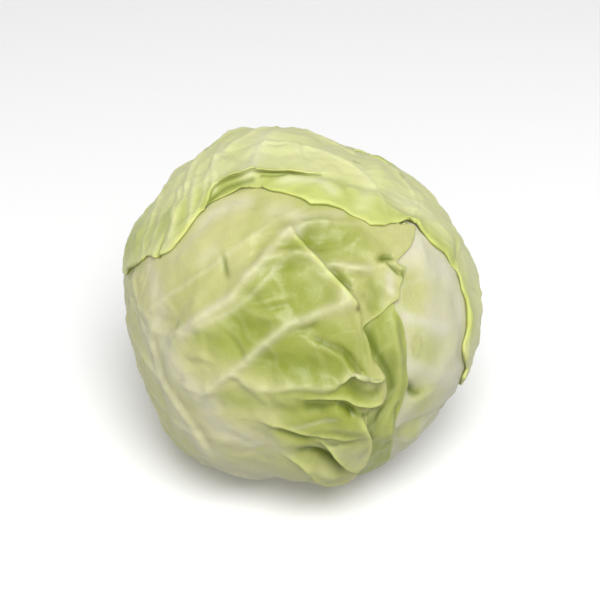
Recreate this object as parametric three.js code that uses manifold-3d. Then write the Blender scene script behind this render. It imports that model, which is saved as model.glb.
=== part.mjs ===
// A head of white cabbage standing on its cut stem.
// Millimetres, +Z up. The head is drawn round its middle and set down on z = 0 at the end.
// Places on the head are [azimuth, elevation] in degrees as seen from that middle: azimuth 0 is the
// front (-Y), positive azimuths turn towards +X, and elevation -90 is the stem.
import * as THREE from 'three';
import { mergeVertices } from 'three/addons/utils/BufferGeometryUtils.js';
import Module from 'manifold-3d';

// ---- driving dimensions ----
const HEAD_RADIUS = 82.5;
const HEART_DEPTH = 6.0;          // from the nominal outside of the head down to the packed heart
const BLADE = 1.0;                // thickness of one wrapper leaf
const LAYER = 2.1;                // one leaf and the air above it
const HEART_AIR = 0.9;            // extra air between the heart and the first leaf
const HOLLOW_SPREAD = 0.25;       // a hollow is this much wider in each layer further down
const DRAPE_FULL = 8;             // a leaf keeps its full lift this far past the margin it covers
const DRAPE_END = 26;             // and lies flat again this far past it
const STEM_RADIUS = 14;
const STEM_BEVEL = 1.2;
const STEM_DEPTH = 73.5;          // from the middle of the head down to the cut face
const STEM_LENGTH = 12;           // straight part above the cut face
const STEM_NECK = 24;             // height where the stem has narrowed to its neck
const NECK_SHARE = 0.8;           // neck radius as a share of the stem's
const STEM_SIDES = 28;
const CORE_TOP = -12;             // where the stem's core ends inside the heart
const CORE_RADIUS = 7;
const CORE_POINT = 12;            // length of the cone at the core's end
const FIT = 0.5;                  // air round the stem
const HEART_SIDES = 26;
const HEART_RINGS = 15;
const STEM_COLOR = 0xe6e0c4;
const STEM_ROUGHNESS = 0.7;
const HEART_COLOR = 0xe2e4c0;
const HEART_ROUGHNESS = 0.5;
const LEAF_ROUGHNESS = 0.45;
const EDGE_LIFT = 0.9;            // how far a free margin stands off, with a wave along it
const EDGE_WAVE = 0.6;
const EDGE_REACH = 7;
const EDGE_WAVES = 17;            // waves round one leaf
const LEAF_FOOT = -76;            // elevation where the leaves spring from the stem

// Swellings (+) and flats (-) of the head: [azimuth, elevation, share of radius, width in degrees].
const SHOULDERS = [
  [90, 0, 0.018, 30], [107, 25, -0.047, 30], [133, 47, -0.061, 30], [-133, 47, -0.012, 30],
  [-90, 0, -0.005, 30], [-73, -25, -0.065, 30], [-47, -47, 0.042, 30], [0, -57, -0.012, 30],
  [73, -25, -0.031, 30], [0, -90, -0.16, 29], [-86, 6, 0.016, 20], [-57, -30, 0.054, 20],
  [-150, 56, 0.086, 25], [-104, 18, 0.075, 16], [112, 36, 0.054, 20], [28, -43, 0.016, 14],
  [-22, -45, -0.027, 16], [-146, 44, 0.032, 14], [-168, 58, -0.018, 14], [-97, 22, -0.039, 14],
];

// Hollows that every layer follows: a path of [azimuth, elevation, depth] and a half width.
const HOLLOWS = [
  { path: [[14, 48, 0.4], [22, 42, 1.8], [26, 35, 1.6], [24, 29, 0.8]], width: 9 },
  { path: [[0, -14, 0.6], [5, -16, 2.6], [10, -21, 2.6], [15, -27, 0.8]], width: 5 },
  { path: [[25, 24, 0.6], [28, 12, 1.6], [27, 2, 1.6], [25, -8, 1.0]], width: 5 },
  { path: [[33, 4, 0.6], [36, 2, 1.8], [41, -1, 0.4]], width: 4 },
];

// The wrapper leaves from the inside out. A leaf has a midrib and two margins, each from the stem to
// the tip, ridges [azimuth, elevation, height] that stand up on both sides alike, and folds with the
// same points, which rise slowly over `run` on one side and drop over `fall` on the other. With side
// 1 the drop lies on the right hand of the path as seen from outside, with -1 on the left. `crowd`
// below 1 spaces the rows more widely near the stem.
const LEAVES = [
  {
    name: 'lower_leaf',
    color: 0xcfd3a0,
    midrib: [[36, LEAF_FOOT], [38, -50], [42, -25], [46, 0], [50, 25], [52, 44]],
    left: [[10, LEAF_FOOT], [2, -55], [-4, -30], [-6, 0], [2, 25], [25, 42], [45, 47]],
    right: [[65, LEAF_FOOT], [84, -50], [94, -25], [98, 0], [92, 25], [76, 40], [60, 47]],
    rows: 14,
    columns: [8, 8],
    ridges: [
      { path: [[36, LEAF_FOOT, 2], [38, -50, 2.4], [42, -30, 1.2], [46, -10, 0.6]], width: 6 },
      { path: [[40, -45, 1.0], [52, -32, 1.0], [66, -24, 0.4]], width: 4 },
    ],
    folds: [],
  },
  {
    name: 'right_leaf',
    color: 0xdbd8b4,
    midrib: [[98, LEAF_FOOT], [98, -50], [100, -25], [102, 0], [100, 25], [95, 45], [90, 58]],
    left: [
      [58, LEAF_FOOT], [66, -55], [69, -38], [67, -28], [61, -19], [56.5, -16.8], [50, -14.1],
      [45.7, -12.9], [37.3, -12.1], [28, -13], [22, -9], [12, 0], [8, 15], [12, 30], [22, 45],
      [45, 58], [80, 62],
    ],
    right: [
      [136, LEAF_FOOT], [152, -50], [164, -25], [170, 0], [168, 25], [152, 45], [125, 57], [100, 62],
    ],
    rows: 17,
    columns: [13, 8],
    ridges: [
      { path: [[98, LEAF_FOOT, 2.4], [98, -50, 3], [100, -25, 2], [102, 0, 1], [100, 25, 0.5]], width: 7 },
      { path: [[57, -7, 0.5], [47, 3, 0.9], [40, 9, 1.0], [35, 12, 0.8]], width: 4 },
      { path: [[60, 12, 0.4], [49, 18, 0.8], [43, 22, 0.9], [37, 26, 0.6]], width: 4 },
      { path: [[65, 24, 0.4], [60, 31, 0.7], [52, 36, 0.8], [46, 39, 0.5]], width: 4 },
    ],
    folds: [],
  },
  {
    name: 'under_leaf',
    color: 0xa9b35c,
    midrib: [[6, LEAF_FOOT], [6, -50], [5, -25], [4, 0], [5, 25], [8, 44]],
    left: [[-20, LEAF_FOOT], [-34, -50], [-42, -25], [-44, 0], [-38, 25], [-20, 42], [0, 49]],
    right: [
      [32, LEAF_FOOT], [36, -52], [36.5, -38], [32.3, -19], [30.2, -12], [30.2, -7], [31.9, -1.3],
      [33.7, 5], [34, 11.6], [34.7, 18.5], [35, 22], [33, 29], [33, 32], [28, 38], [18, 46],
    ],
    rows: 18,
    columns: [5, 9],
    ridges: [
      { path: [[6, LEAF_FOOT, 2], [6, -50, 2], [5, -30, 0.8]], width: 6 },
      { path: [[31, 28, 1.2], [30.6, 17, 1.8], [30, 6, 1.8], [27, -3, 1.2], [26, -15, 0.8]], width: 3.5 },
    ],
    folds: [],
  },
  {
    name: 'front_leaf',
    color: 0xb4bd6c,
    midrib: [
      [-20, LEAF_FOOT], [-20, -60], [-22, -42], [-26, -30], [-31, -20], [-38, -11], [-43, -3], [-50, 5],
      [-56, 11], [-62, 17], [-70, 30], [-78, 46], [-82, 60],
    ],
    left: [
      [-75, LEAF_FOOT], [-95, -60], [-107, -45], [-116, -25], [-123, -5], [-126, 15], [-122, 35],
      [-112, 54], [-95, 64],
    ],
    right: [
      [6, LEAF_FOOT], [4, -62], [5, -52], [9, -47], [15, -45], [20, -41], [23, -34], [25.4, -24],
      [25.6, -18.6], [23, -11], [20, -4], [19.2, 0.1], [20.4, 3], [26.1, 1.3], [27.2, 6],
      [26, 11.7], [22.8, 18], [21.1, 24], [20.4, 26.5], [25.4, 28.6], [31.7, 31], [35.6, 32.4],
      [40.9, 37.3], [43.2, 39.2], [41, 41.4], [50.5, 43.5], [60.6, 47.3], [60, 52], [57, 58],
      [46, 66], [0, 75], [-55, 72],
    ],
    rows: 42,
    columns: [7, 30],
    ridges: [
      {
        path: [
          [-20, LEAF_FOOT, 1.2], [-20, -60, 2.2], [-22, -42, 2.6], [-26, -30, 2.6], [-31, -20, 2.2],
          [-38, -11, 2.0], [-43, -3, 1.7], [-50, 5, 1.4], [-56, 11, 1.1], [-62, 17, 0.8],
        ],
        width: 7,
      },
      {
        path: [
          [-46, 16, 0.6], [-36, 25, 1.1], [-28, 32, 1.4], [-23, 38.5, 1.6], [-17.5, 45.6, 1.8],
          [-11.8, 53.6, 1.8], [-6, 56.5, 1.8],
        ],
        width: 4.5,
      },
      { path: [[-5, 58, 1.8], [6, 60, 1.4], [17, 60.5, 0.9], [28, 61, 0.4]], width: 4.5 },
      { path: [[-17.6, 44.7, 0.4], [-12.7, 48.2, 1.0], [-6.6, 50, 1.2], [5.7, 47.6, 1.2]], width: 4 },
      {
        path: [
          [-29, 3.7, 0.5], [-21, 12.7, 1.5], [-12.2, 22, 2.1], [-3.2, 29.2, 2.2], [5.1, 31.9, 2],
          [16.7, 34, 1.6],
        ],
        width: 4.5,
      },
      {
        path: [
          [-20, 12, 1.3], [-14, 9.1, 1.9], [-7, 10.2, 1.9], [1.4, 11.8, 2.1], [9.5, 12.4, 2.3],
          [15, 14.6, 2.4],
        ],
        width: 4,
      },
      { path: [[-9, -1.4, 0.8], [-3, -2.2, 1.6], [7.8, -0.3, 1.5], [14.8, -0.6, 0.8]], width: 3.5 },
      { path: [[-1, -16, 0.8], [7, -20, 1.8], [12, -26, 2], [18.5, -28.5, 1]], width: 3.5 },
    ],
    folds: [
      {
        path: [
          [-5.3, 57.3, 1], [-2, 55.2, 2], [1.4, 52.8, 2.8], [6.9, 47.8, 3.4], [12.2, 42.9, 3.8],
          [16.8, 36.8, 3.6], [18.8, 32, 2.6], [19.4, 28, 1.2],
        ],
        run: 12,
        fall: 4,
        side: -1,
      },
      {
        path: [[10, 12, 0.6], [14.7, 14.5, 2.4], [19.2, 12, 3.4], [22, 11, 3.6], [25.4, 11, 2.6]],
        run: 7,
        fall: 3.5,
        side: 1,
      },
      {
        path: [
          [0.6, 7.5, 0.6], [7.1, 7.9, 2.4], [13.2, 6.7, 2.8], [17.7, 4.2, 3.2], [21, 4.6, 3.2],
          [25.6, 3, 2.4],
        ],
        run: 7,
        fall: 3.5,
        side: 1,
      },
      {
        path: [[-10.4, -2.8, 0.4], [-6.7, -1.6, 1.6], [-2.4, -3, 2.8], [1.2, -7.4, 2.4], [5, -9, 1]],
        run: 6,
        fall: 3.5,
        side: 1,
      },
      {
        path: [[16.7, 3.5, 1.4], [19.8, -3.9, 2.4], [23.2, -11.8, 2.2], [25.4, -18.4, 1]],
        run: 6,
        fall: 3.5,
        side: -1,
      },
      {
        path: [
          [5.3, -9.7, 0.8], [8.8, -12.1, 3.4], [10.2, -14.2, 4], [12.2, -17.4, 4], [16.4, -24.8, 3.2],
          [20.1, -27.3, 1.6],
        ],
        run: 9,
        fall: 4,
        side: 1,
      },
      {
        path: [
          [-5, -16, 0.4], [0.3, -18, 2.2], [3.7, -24.4, 3.2], [7.7, -29.2, 3.6], [12.7, -34, 3.4],
          [21.4, -35, 1.6],
        ],
        run: 7,
        fall: 4,
        side: 1,
      },
    ],
  },
  {
    name: 'cap_leaf',
    color: 0xd2d68c,
    midrib: [
      [174, LEAF_FOOT], [172, -50], [172, -20], [174, 10], [178, 35], [-178, 55], [-168, 68],
      [-140, 76], [-80, 79], [-48, 75], [-40.7, 69.8],
    ],
    right: [
      [-160, LEAF_FOOT], [-150, -50], [-140, -25], [-124, -5], [-106, 6], [-96, 12], [-86.3, 16],
      [-79.7, 23.4], [-74.2, 30.2], [-67.2, 33.3], [-62, 37.6], [-60.2, 42], [-60.3, 49],
      [-61.2, 54.5], [-58.9, 60.6], [-51.7, 66.4], [-44, 69],
    ],
    left: [
      [150, LEAF_FOOT], [138, -60], [118, -42], [98, -30], [83, -23], [75, -20], [67.6, -13.5],
      [64, -6], [61.5, 0], [60.8, 5], [65, 11], [67.6, 17], [69, 24], [69.3, 28], [67.7, 34.4],
      [63.8, 41], [62, 48], [54.2, 51.2], [45, 53], [38.3, 54.8], [34.2, 59], [29.4, 62.6],
      [20, 65.4], [8, 66.5], [-1.6, 69], [-16, 70.2], [-36, 70],
    ],
    rows: 32,
    columns: [15, 13],
    crowd: 0.8,
    ridges: [
      {
        path: [
          [174, LEAF_FOOT, 2], [172, -50, 3], [172, -20, 2], [174, 10, 2], [178, 35, 1.6],
          [-178, 55, 1.4], [-168, 68, 1.2], [-140, 76, 1], [-80, 79, 0.8],
        ],
        width: 6,
      },
    ],
    folds: [
      {
        path: [
          [-61.5, 55.5, 1], [-64.8, 60, 2.6], [-65.8, 62.7, 3.4], [-63.5, 65.7, 4], [-54.4, 70.8, 4.2],
          [-50.4, 73.6, 4], [-27, 77.5, 3.6], [0, 78.7, 2.8], [15, 78.4, 1.8], [33, 78, 0.5],
        ],
        run: 12,
        fall: 4,
        side: 1,
      },
    ],
  },
  {
    name: 'back_leaf',
    color: 0xc6cc88,
    midrib: [
      [-166, LEAF_FOOT], [-164, -50], [-163, -20], [-163, 10], [-166, 32], [-172, 48], [178, 57],
    ],
    left: [
      [158, LEAF_FOOT], [136, -52], [119, -25], [111, 0], [109, 20], [114, 34], [128, 46], [152, 54],
    ],
    right: [
      [-126, LEAF_FOOT], [-110, -50], [-105, -25], [-108, 0], [-114, 18], [-126, 34], [-146, 46],
      [-168, 54],
    ],
    rows: 14,
    columns: [8, 8],
    ridges: [
      {
        path: [
          [-166, LEAF_FOOT, 1.6], [-164, -50, 3], [-163, -20, 3], [-163, 10, 2.4], [-166, 32, 1.6],
          [-172, 48, 0.8],
        ],
        width: 7,
      },
    ],
    folds: [],
  },
];

// ---- places on the head ----
const direction = ([azimuth, elevation]) => {
  const a = THREE.MathUtils.degToRad(azimuth);
  const e = THREE.MathUtils.degToRad(elevation);
  return new THREE.Vector3(Math.cos(e) * Math.sin(a), -Math.cos(e) * Math.cos(a), Math.sin(e));
};

// A smooth path over the head, as unit vectors with the third value of its points beside them.
function smoothPath(points, stepsPerPoint = 4) {
  const curve = new THREE.CatmullRomCurve3(points.map(direction), false, 'centripetal');
  const count = (points.length - 1) * stepsPerPoint;
  const path = [];
  for (let i = 0; i <= count; i += 1) {
    const place = (i / count) * (points.length - 1);
    const before = Math.min(Math.floor(place), points.length - 2);
    const share = place - before;
    const value = THREE.MathUtils.lerp(points[before][2] ?? 0, points[before + 1][2] ?? 0, share);
    path.push({ at: curve.getPoint(i / count).normalize(), value });
  }
  return path;
}

// Nearest point of a path: its distance in millimetres, its value, and which hand the place lies on.
function nearest(place, path) {
  const span = new THREE.Vector3();
  const offset = new THREE.Vector3();
  const found = { distance: Infinity, value: 0, hand: 1 };
  for (let i = 0; i < path.length - 1; i += 1) {
    const from = path[i].at;
    span.subVectors(path[i + 1].at, from);
    offset.subVectors(place, from);
    const share = THREE.MathUtils.clamp(offset.dot(span) / span.lengthSq(), 0, 1);
    const across = offset.addScaledVector(span, -share);
    const distance = across.length() * HEAD_RADIUS;
    if (distance < found.distance) {
      found.distance = distance;
      found.value = THREE.MathUtils.lerp(path[i].value, path[i + 1].value, share);
      found.hand = Math.sign(across.dot(new THREE.Vector3().crossVectors(span, from))) || 1;
    }
  }
  return found;
}

// ---- the shared form of the head ----
function nominalRadius(place) {
  let share = 1;
  for (const [azimuth, elevation, amount, width] of SHOULDERS) {
    const angle = THREE.MathUtils.radToDeg(place.angleTo(direction([azimuth, elevation])));
    share += amount * Math.exp(-((angle / width) ** 2));
  }
  return HEAD_RADIUS * share;
}

const hollowPaths = HOLLOWS.map(({ path, width }) => ({ path: smoothPath(path), width }));

// The bed that a layer lies on, before the leaves under it are counted. `depth` is the number of
// layers between it and the front leaf.
function bedRadius(place, depth) {
  let radius = nominalRadius(place) - HEART_DEPTH;
  for (const { path, width } of hollowPaths) {
    const { distance, value } = nearest(place, path);
    const reach = width * (1 + HOLLOW_SPREAD * Math.max(0, depth));
    radius -= value * Math.exp(-((distance / reach) ** 2));
  }
  return radius;
}

// ---- leaves ----
// The outline is laid flat by stereographic projection from the leaf's own middle, where a place is
// tested for lying inside it.
function outlineOf(leaf) {
  const right = smoothPath(leaf.right);
  const left = smoothPath(leaf.left);
  const loop = [...right, ...left.reverse()];
  loop.push({ ...loop[0] });
  loop.forEach((point, i) => {
    point.value = i / (loop.length - 1);
  });
  const middle = new THREE.Vector3();
  for (const point of smoothPath(leaf.midrib)) {
    middle.add(point.at);
  }
  for (const point of loop) {
    middle.addScaledVector(point.at, 0.5);
  }
  middle.normalize();
  const side = new THREE.Vector3(0.31, 0.17, 0.94).cross(middle).normalize();
  const up = new THREE.Vector3().crossVectors(middle, side);
  const flatten = (at) => {
    const scale = 1 / (1 + at.dot(middle));
    return [at.dot(side) * scale, at.dot(up) * scale];
  };
  return { loop, flatten, flat: loop.map((point) => flatten(point.at)) };
}

function isInside(place, outline) {
  const [x, y] = outline.flatten(place);
  let inside = false;
  for (let i = 0; i < outline.flat.length - 1; i += 1) {
    const [x1, y1] = outline.flat[i];
    const [x2, y2] = outline.flat[i + 1];
    if ((y1 > y) !== (y2 > y) && x < x1 + ((y - y1) * (x2 - x1)) / (y2 - y1)) {
      inside = !inside;
    }
  }
  return inside;
}

// 1 under and close round a leaf, easing to 0 beyond its drape.
function spread(place, outline) {
  if (isInside(place, outline)) {
    return 1;
  }
  const { distance } = nearest(place, outline.loop);
  return 1 - THREE.MathUtils.smoothstep(distance, DRAPE_FULL, DRAPE_END);
}

const outlines = LEAVES.map(outlineOf);
const FRONT_LEAF = LEAVES.findIndex((leaf) => leaf.name === 'front_leaf');

// Height of a leaf's own ridges, folds and lifted margins. They die out where another leaf lies over.
function reliefOf(leaf, outline) {
  const ridges = leaf.ridges.map(({ path, width }) => ({ path: smoothPath(path), width }));
  const folds = leaf.folds.map((fold) => ({ ...fold, path: smoothPath(fold.path) }));
  return (place) => {
    let height = 0;
    for (const { path, width } of ridges) {
      const { distance, value } = nearest(place, path);
      height += value * Math.exp(-((distance / width) ** 2));
    }
    for (const { path, run, fall, side } of folds) {
      const { distance, value, hand } = nearest(place, path);
      const reach = hand * side > 0 ? fall : run;
      height += value * Math.exp(-((distance / reach) ** 2));
    }
    const edge = nearest(place, outline.loop);
    const wave = EDGE_WAVE * Math.sin(edge.value * EDGE_WAVES * 2 * Math.PI);
    height += (EDGE_LIFT + wave) * Math.exp(-((edge.distance / EDGE_REACH) ** 2));
    return height;
  };
}

// Rows run from the stem to the tip, columns from the left margin over the midrib to the right one.
function leafPlaces(leaf) {
  const curveOf = (points) => new THREE.CatmullRomCurve3(points.map(direction), false, 'centripetal');
  const [left, midrib, right] = [leaf.left, leaf.midrib, leaf.right].map(curveOf);
  const [leftColumns, rightColumns] = leaf.columns;
  const rows = [];
  for (let i = 0; i <= leaf.rows; i += 1) {
    const along = (i / leaf.rows) ** (leaf.crowd ?? 1);
    const ends = [left, midrib, right].map((curve) => curve.getPointAt(along).normalize());
    const row = [];
    for (let j = -leftColumns; j <= rightColumns; j += 1) {
      const share = j < 0 ? -j / leftColumns : j / rightColumns;
      const angle = ends[1].angleTo(ends[j < 0 ? 0 : 2]);
      const place = ends[1].clone().multiplyScalar(Math.sin((1 - share) * angle));
      place.addScaledVector(ends[j < 0 ? 0 : 2], Math.sin(share * angle));
      row.push(place.normalize());
    }
    rows.push(row);
  }
  return rows;
}

function leafGeometry(leaf, index) {
  const relief = reliefOf(leaf, outlines[index]);
  const rows = leafPlaces(leaf);
  const width = rows[0].length;
  const outer = [];
  const inner = [];
  for (const place of rows.flat()) {
    const below = outlines.slice(0, index).reduce((sum, outline) => sum + spread(place, outline), 0);
    const above = Math.max(0, ...outlines.slice(index + 1).map((outline) => spread(place, outline)));
    const bed = bedRadius(place, FRONT_LEAF - index) + LAYER * below + LAYER - BLADE;
    const radius = bed + relief(place) * (1 - above);
    outer.push(place.clone().multiplyScalar(radius + BLADE));
    inner.push(place.clone().multiplyScalar(radius));
  }
  const positions = [...outer, ...inner].flatMap((point) => point.toArray());
  const triangles = [];
  const back = outer.length;
  const quad = (a, b, c, d) => triangles.push(a, b, c, a, c, d);
  for (let i = 0; i < rows.length - 1; i += 1) {
    for (let j = 0; j < width - 1; j += 1) {
      const corner = i * width + j;
      const [a, b, c, d] = [corner, corner + 1, corner + width + 1, corner + width];
      triangles.push(a, b, c, a, c, d);
      triangles.push(a + back, c + back, b + back, a + back, d + back, c + back);
    }
  }
  const rim = [];
  for (let j = 0; j < width - 1; j += 1) {
    rim.push(j);
  }
  for (let i = 0; i < rows.length - 1; i += 1) {
    rim.push(i * width + width - 1);
  }
  for (let j = width - 1; j > 0; j -= 1) {
    rim.push((rows.length - 1) * width + j);
  }
  for (let i = rows.length - 1; i > 0; i -= 1) {
    rim.push(i * width);
  }
  rim.forEach((a, i) => {
    const b = rim[(i + 1) % rim.length];
    quad(a, a + back, b + back, b);
  });
  const geometry = new THREE.BufferGeometry();
  geometry.setAttribute('position', new THREE.Float32BufferAttribute(positions, 3));
  geometry.setIndex(triangles);
  return geometry;
}

// ---- stem and heart ----
// The stem's profile from the cut face up to the end of its core, `air` wider all round.
function stemGeometry(air) {
  const profile = [
    [0, -STEM_DEPTH - air],
    [STEM_RADIUS - STEM_BEVEL + air, -STEM_DEPTH - air],
    [STEM_RADIUS + air, -STEM_DEPTH + STEM_BEVEL],
    [STEM_RADIUS + air, -STEM_DEPTH + STEM_LENGTH],
    [STEM_RADIUS * NECK_SHARE + air, -STEM_DEPTH + STEM_NECK],
    [CORE_RADIUS + air, CORE_TOP - CORE_POINT],
    [0, CORE_TOP + air],
  ];
  const points = profile.map(([x, y]) => new THREE.Vector2(x, y));
  const geometry = new THREE.LatheGeometry(points, STEM_SIDES);
  geometry.rotateX(Math.PI / 2);
  return closed(geometry);
}

function closed(geometry) {
  geometry.deleteAttribute('normal');
  geometry.deleteAttribute('uv');
  return mergeVertices(geometry, 1e-4);
}

function heartBall() {
  const geometry = closed(new THREE.SphereGeometry(1, HEART_SIDES, HEART_RINGS).rotateX(Math.PI / 2));
  const points = geometry.getAttribute('position');
  const place = new THREE.Vector3();
  for (let i = 0; i < points.count; i += 1) {
    place.fromBufferAttribute(points, i).normalize();
    place.multiplyScalar(bedRadius(place, FRONT_LEAF + 1) - HEART_AIR);
    points.setXYZ(i, place.x, place.y, place.z);
  }
  return geometry;
}

const wasm = await Module();
wasm.setup();

function solidOf(geometry) {
  return new wasm.Manifold(new wasm.Mesh({
    numProp: 3,
    vertProperties: new Float32Array(geometry.getAttribute('position').array),
    triVerts: new Uint32Array(geometry.getIndex().array),
  }));
}

function geometryOf(solid) {
  const mesh = solid.getMesh();
  const geometry = new THREE.BufferGeometry();
  geometry.setAttribute('position', new THREE.Float32BufferAttribute(mesh.vertProperties, 3));
  geometry.setIndex(Array.from(mesh.triVerts));
  return geometry;
}

// ---- assembly ----
const group = new THREE.Group();

function addPiece(name, geometry, color, roughness) {
  const material = new THREE.MeshStandardMaterial({ color, roughness, metalness: 0 });
  const piece = new THREE.Mesh(geometry, material);
  piece.name = name;
  group.add(piece);
}

const heart = solidOf(heartBall()).subtract(solidOf(stemGeometry(FIT)));
addPiece('stem', stemGeometry(0), STEM_COLOR, STEM_ROUGHNESS);
addPiece('heart', geometryOf(heart), HEART_COLOR, HEART_ROUGHNESS);
LEAVES.forEach((leaf, index) => {
  addPiece(leaf.name, leafGeometry(leaf, index), leaf.color, LEAF_ROUGHNESS);
});

// Set the head down: its lowest face on z = 0, the middle of its box over the origin.
const box = new THREE.Box3();
for (const piece of group.children) {
  piece.geometry.computeBoundingBox();
  box.union(piece.geometry.boundingBox);
}
const middle = box.getCenter(new THREE.Vector3());
for (const piece of group.children) {
  piece.position.set(-middle.x, -middle.y, -box.min.z);
}

export default group;
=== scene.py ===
"""A head of white cabbage: fine wrapper leaves, heart and cut stem laid round the CAD head."""
import math

import bpy
import mathutils
import numpy as np
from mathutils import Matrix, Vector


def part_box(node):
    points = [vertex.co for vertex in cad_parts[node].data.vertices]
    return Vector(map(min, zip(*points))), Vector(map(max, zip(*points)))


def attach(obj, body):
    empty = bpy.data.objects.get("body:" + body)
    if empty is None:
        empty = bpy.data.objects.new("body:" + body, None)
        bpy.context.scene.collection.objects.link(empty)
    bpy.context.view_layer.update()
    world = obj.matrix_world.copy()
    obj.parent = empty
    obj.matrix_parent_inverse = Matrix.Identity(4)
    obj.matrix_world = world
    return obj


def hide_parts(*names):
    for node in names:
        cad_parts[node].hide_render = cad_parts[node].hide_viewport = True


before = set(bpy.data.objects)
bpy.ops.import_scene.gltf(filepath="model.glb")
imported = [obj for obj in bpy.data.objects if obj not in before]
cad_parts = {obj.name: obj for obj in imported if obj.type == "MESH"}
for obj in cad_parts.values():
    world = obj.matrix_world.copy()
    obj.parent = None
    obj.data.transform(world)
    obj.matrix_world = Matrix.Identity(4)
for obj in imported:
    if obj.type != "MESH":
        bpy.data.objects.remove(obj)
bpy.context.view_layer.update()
BODY = "root"

# ---- driving dimensions, in millimetres, round the middle of the head ----
# Places on the head are (azimuth, elevation) in degrees as seen from that middle: azimuth 0 is the
# front (-Y), positive azimuths turn towards +X, and elevation -90 is the stem.
MM = 0.001
HEAD_RADIUS = 82.5
MIDDLE_HEIGHT = 69.5     # middle of the head above the surface that it stands on
HEART_DEPTH = 4.8        # the bed of the wrapper leaves lies this far under the head's own radius
HEART_AIR = 1.3          # the heart keeps this far under the bed
BLADE = 0.8              # thickness of a leaf
LAYER = 1.6              # each leaf that lies below lifts a leaf by this much
LEAF_FOOT = -76          # elevation where the leaves spring from the stem
RIM_AIR = 0.25           # air left under a margin, where the blade turns down
RIM_DROP = 1.6           # the most that it turns down
RIM_REACH = 2.2
DRAPE_FULL = 1.0         # a leaf lifts those over it fully this far beyond its margin,
DRAPE_END = 8.0          # and not at all from here on

stem_low, stem_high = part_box("stem")
HEAD_MIDDLE = np.array([
    (stem_low[0] + stem_high[0]) / 2,
    (stem_low[1] + stem_high[1]) / 2,
    stem_low[2] + MIDDLE_HEIGHT * MM,
])

# Broad swellings (+) and flats (-) of the head: azimuth, elevation, share of radius, width in degrees.
SHOULDERS = [
    (90, 0, 0.018, 30), (107, 25, -0.047, 30), (133, 47, -0.061, 30), (-133, 47, -0.012, 30),
    (-90, 0, -0.005, 30), (-73, -25, -0.065, 30), (-47, -47, 0.042, 30), (0, -57, -0.040, 30),
    (73, -25, -0.031, 30), (0, -90, -0.215, 30), (-86, 6, 0.016, 20), (-57, -30, 0.054, 20),
    (-150, 56, 0.086, 25), (-104, 18, 0.075, 16), (112, 36, 0.054, 20), (28, -43, 0.016, 14),
    (-22, -45, -0.027, 16), (-146, 44, 0.032, 14), (-168, 58, -0.018, 14), (-97, 22, -0.039, 14),
]

# Hollows that every layer follows: a path of (azimuth, elevation, depth) and a half width.
HOLLOWS = [
    ([(14, 48, 0.4), (22, 42, 1.8), (26, 35, 1.6), (24, 29, 0.8)], 9),
    ([(0, -14, 0.6), (5, -16, 2.6), (10, -21, 2.6), (15, -27, 0.8)], 5),
    ([(25, 24, 0.6), (28, 12, 1.6), (27, 2, 1.6), (25, -8, 1.0)], 5),
    ([(33, 4, 0.6), (36, 2, 1.8), (41, -1, 0.4)], 4),
]


# ---- places and paths on the head ----
FAR = 1e9
PATH_STEP = 3.0          # spacing of the points of a path, in mm


def direction(azimuth, elevation):
    a = np.radians(azimuth)
    e = np.radians(elevation)
    return np.stack([np.cos(e) * np.sin(a), -np.cos(e) * np.cos(a), np.sin(e)], axis=-1)


def unit(vectors):
    return vectors / np.linalg.norm(vectors, axis=-1, keepdims=True)


def directions(points):
    return direction(np.array([p[0] for p in points]), np.array([p[1] for p in points]))


def length_of(way):
    return np.linalg.norm(np.diff(way, axis=0), axis=1).sum() * HEAD_RADIUS


def spline(points, count):
    """A centripetal Catmull-Rom curve through the rows of points, sampled at count places."""
    points = np.asarray(points, float)
    padded = np.array([2 * points[0] - points[1], *points, 2 * points[-1] - points[-2]])
    place = np.linspace(0, len(points) - 1, count)
    before = np.minimum(place.astype(int), len(points) - 2)
    share = (place - before)[:, None]
    p0, p1, p2, p3 = (padded[before + k] for k in range(4))
    gap0, gap1, gap2 = (np.maximum(np.linalg.norm(b - a, axis=1), 1e-6)[:, None] ** 0.5
                        for a, b in ((p0, p1), (p1, p2), (p2, p3)))
    slope1 = ((p1 - p0) / gap0 - (p2 - p0) / (gap0 + gap1) + (p2 - p1) / gap1) * gap1
    slope2 = ((p2 - p1) / gap1 - (p3 - p1) / (gap1 + gap2) + (p3 - p2) / gap2) * gap1
    rise = 2 * share ** 3 - 3 * share ** 2
    return ((1 + rise) * p1 - rise * p2
            + (share ** 3 - 2 * share ** 2 + share) * slope1 + (share ** 3 - share ** 2) * slope2)


class Path:
    """A smooth path over the head with a value at each of its points."""

    def __init__(self, points, step=PATH_STEP):
        given = directions(points)
        count = max(len(points) * 2, int(length_of(given) / step) + 1)
        self.at = unit(spline(given, count))
        values = [p[2] if len(p) > 2 else 0.0 for p in points]
        self.value = np.interp(np.linspace(0, len(points) - 1, count), np.arange(len(points)), values)
        self.along = np.linspace(0, 1, count)

    @classmethod
    def through(cls, at, value):
        path = cls.__new__(cls)
        path.at = at
        path.value = value
        path.along = np.linspace(0, 1, len(at))
        return path

    def spans(self, places):
        """For each span: its number, the share along it nearest to each place, and the way across."""
        for i in range(len(self.at) - 1):
            span = self.at[i + 1] - self.at[i]
            offset = places - self.at[i]
            share = np.clip(offset @ span / (span @ span), 0, 1)
            yield i, span, share, offset - share[:, None] * span


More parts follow.
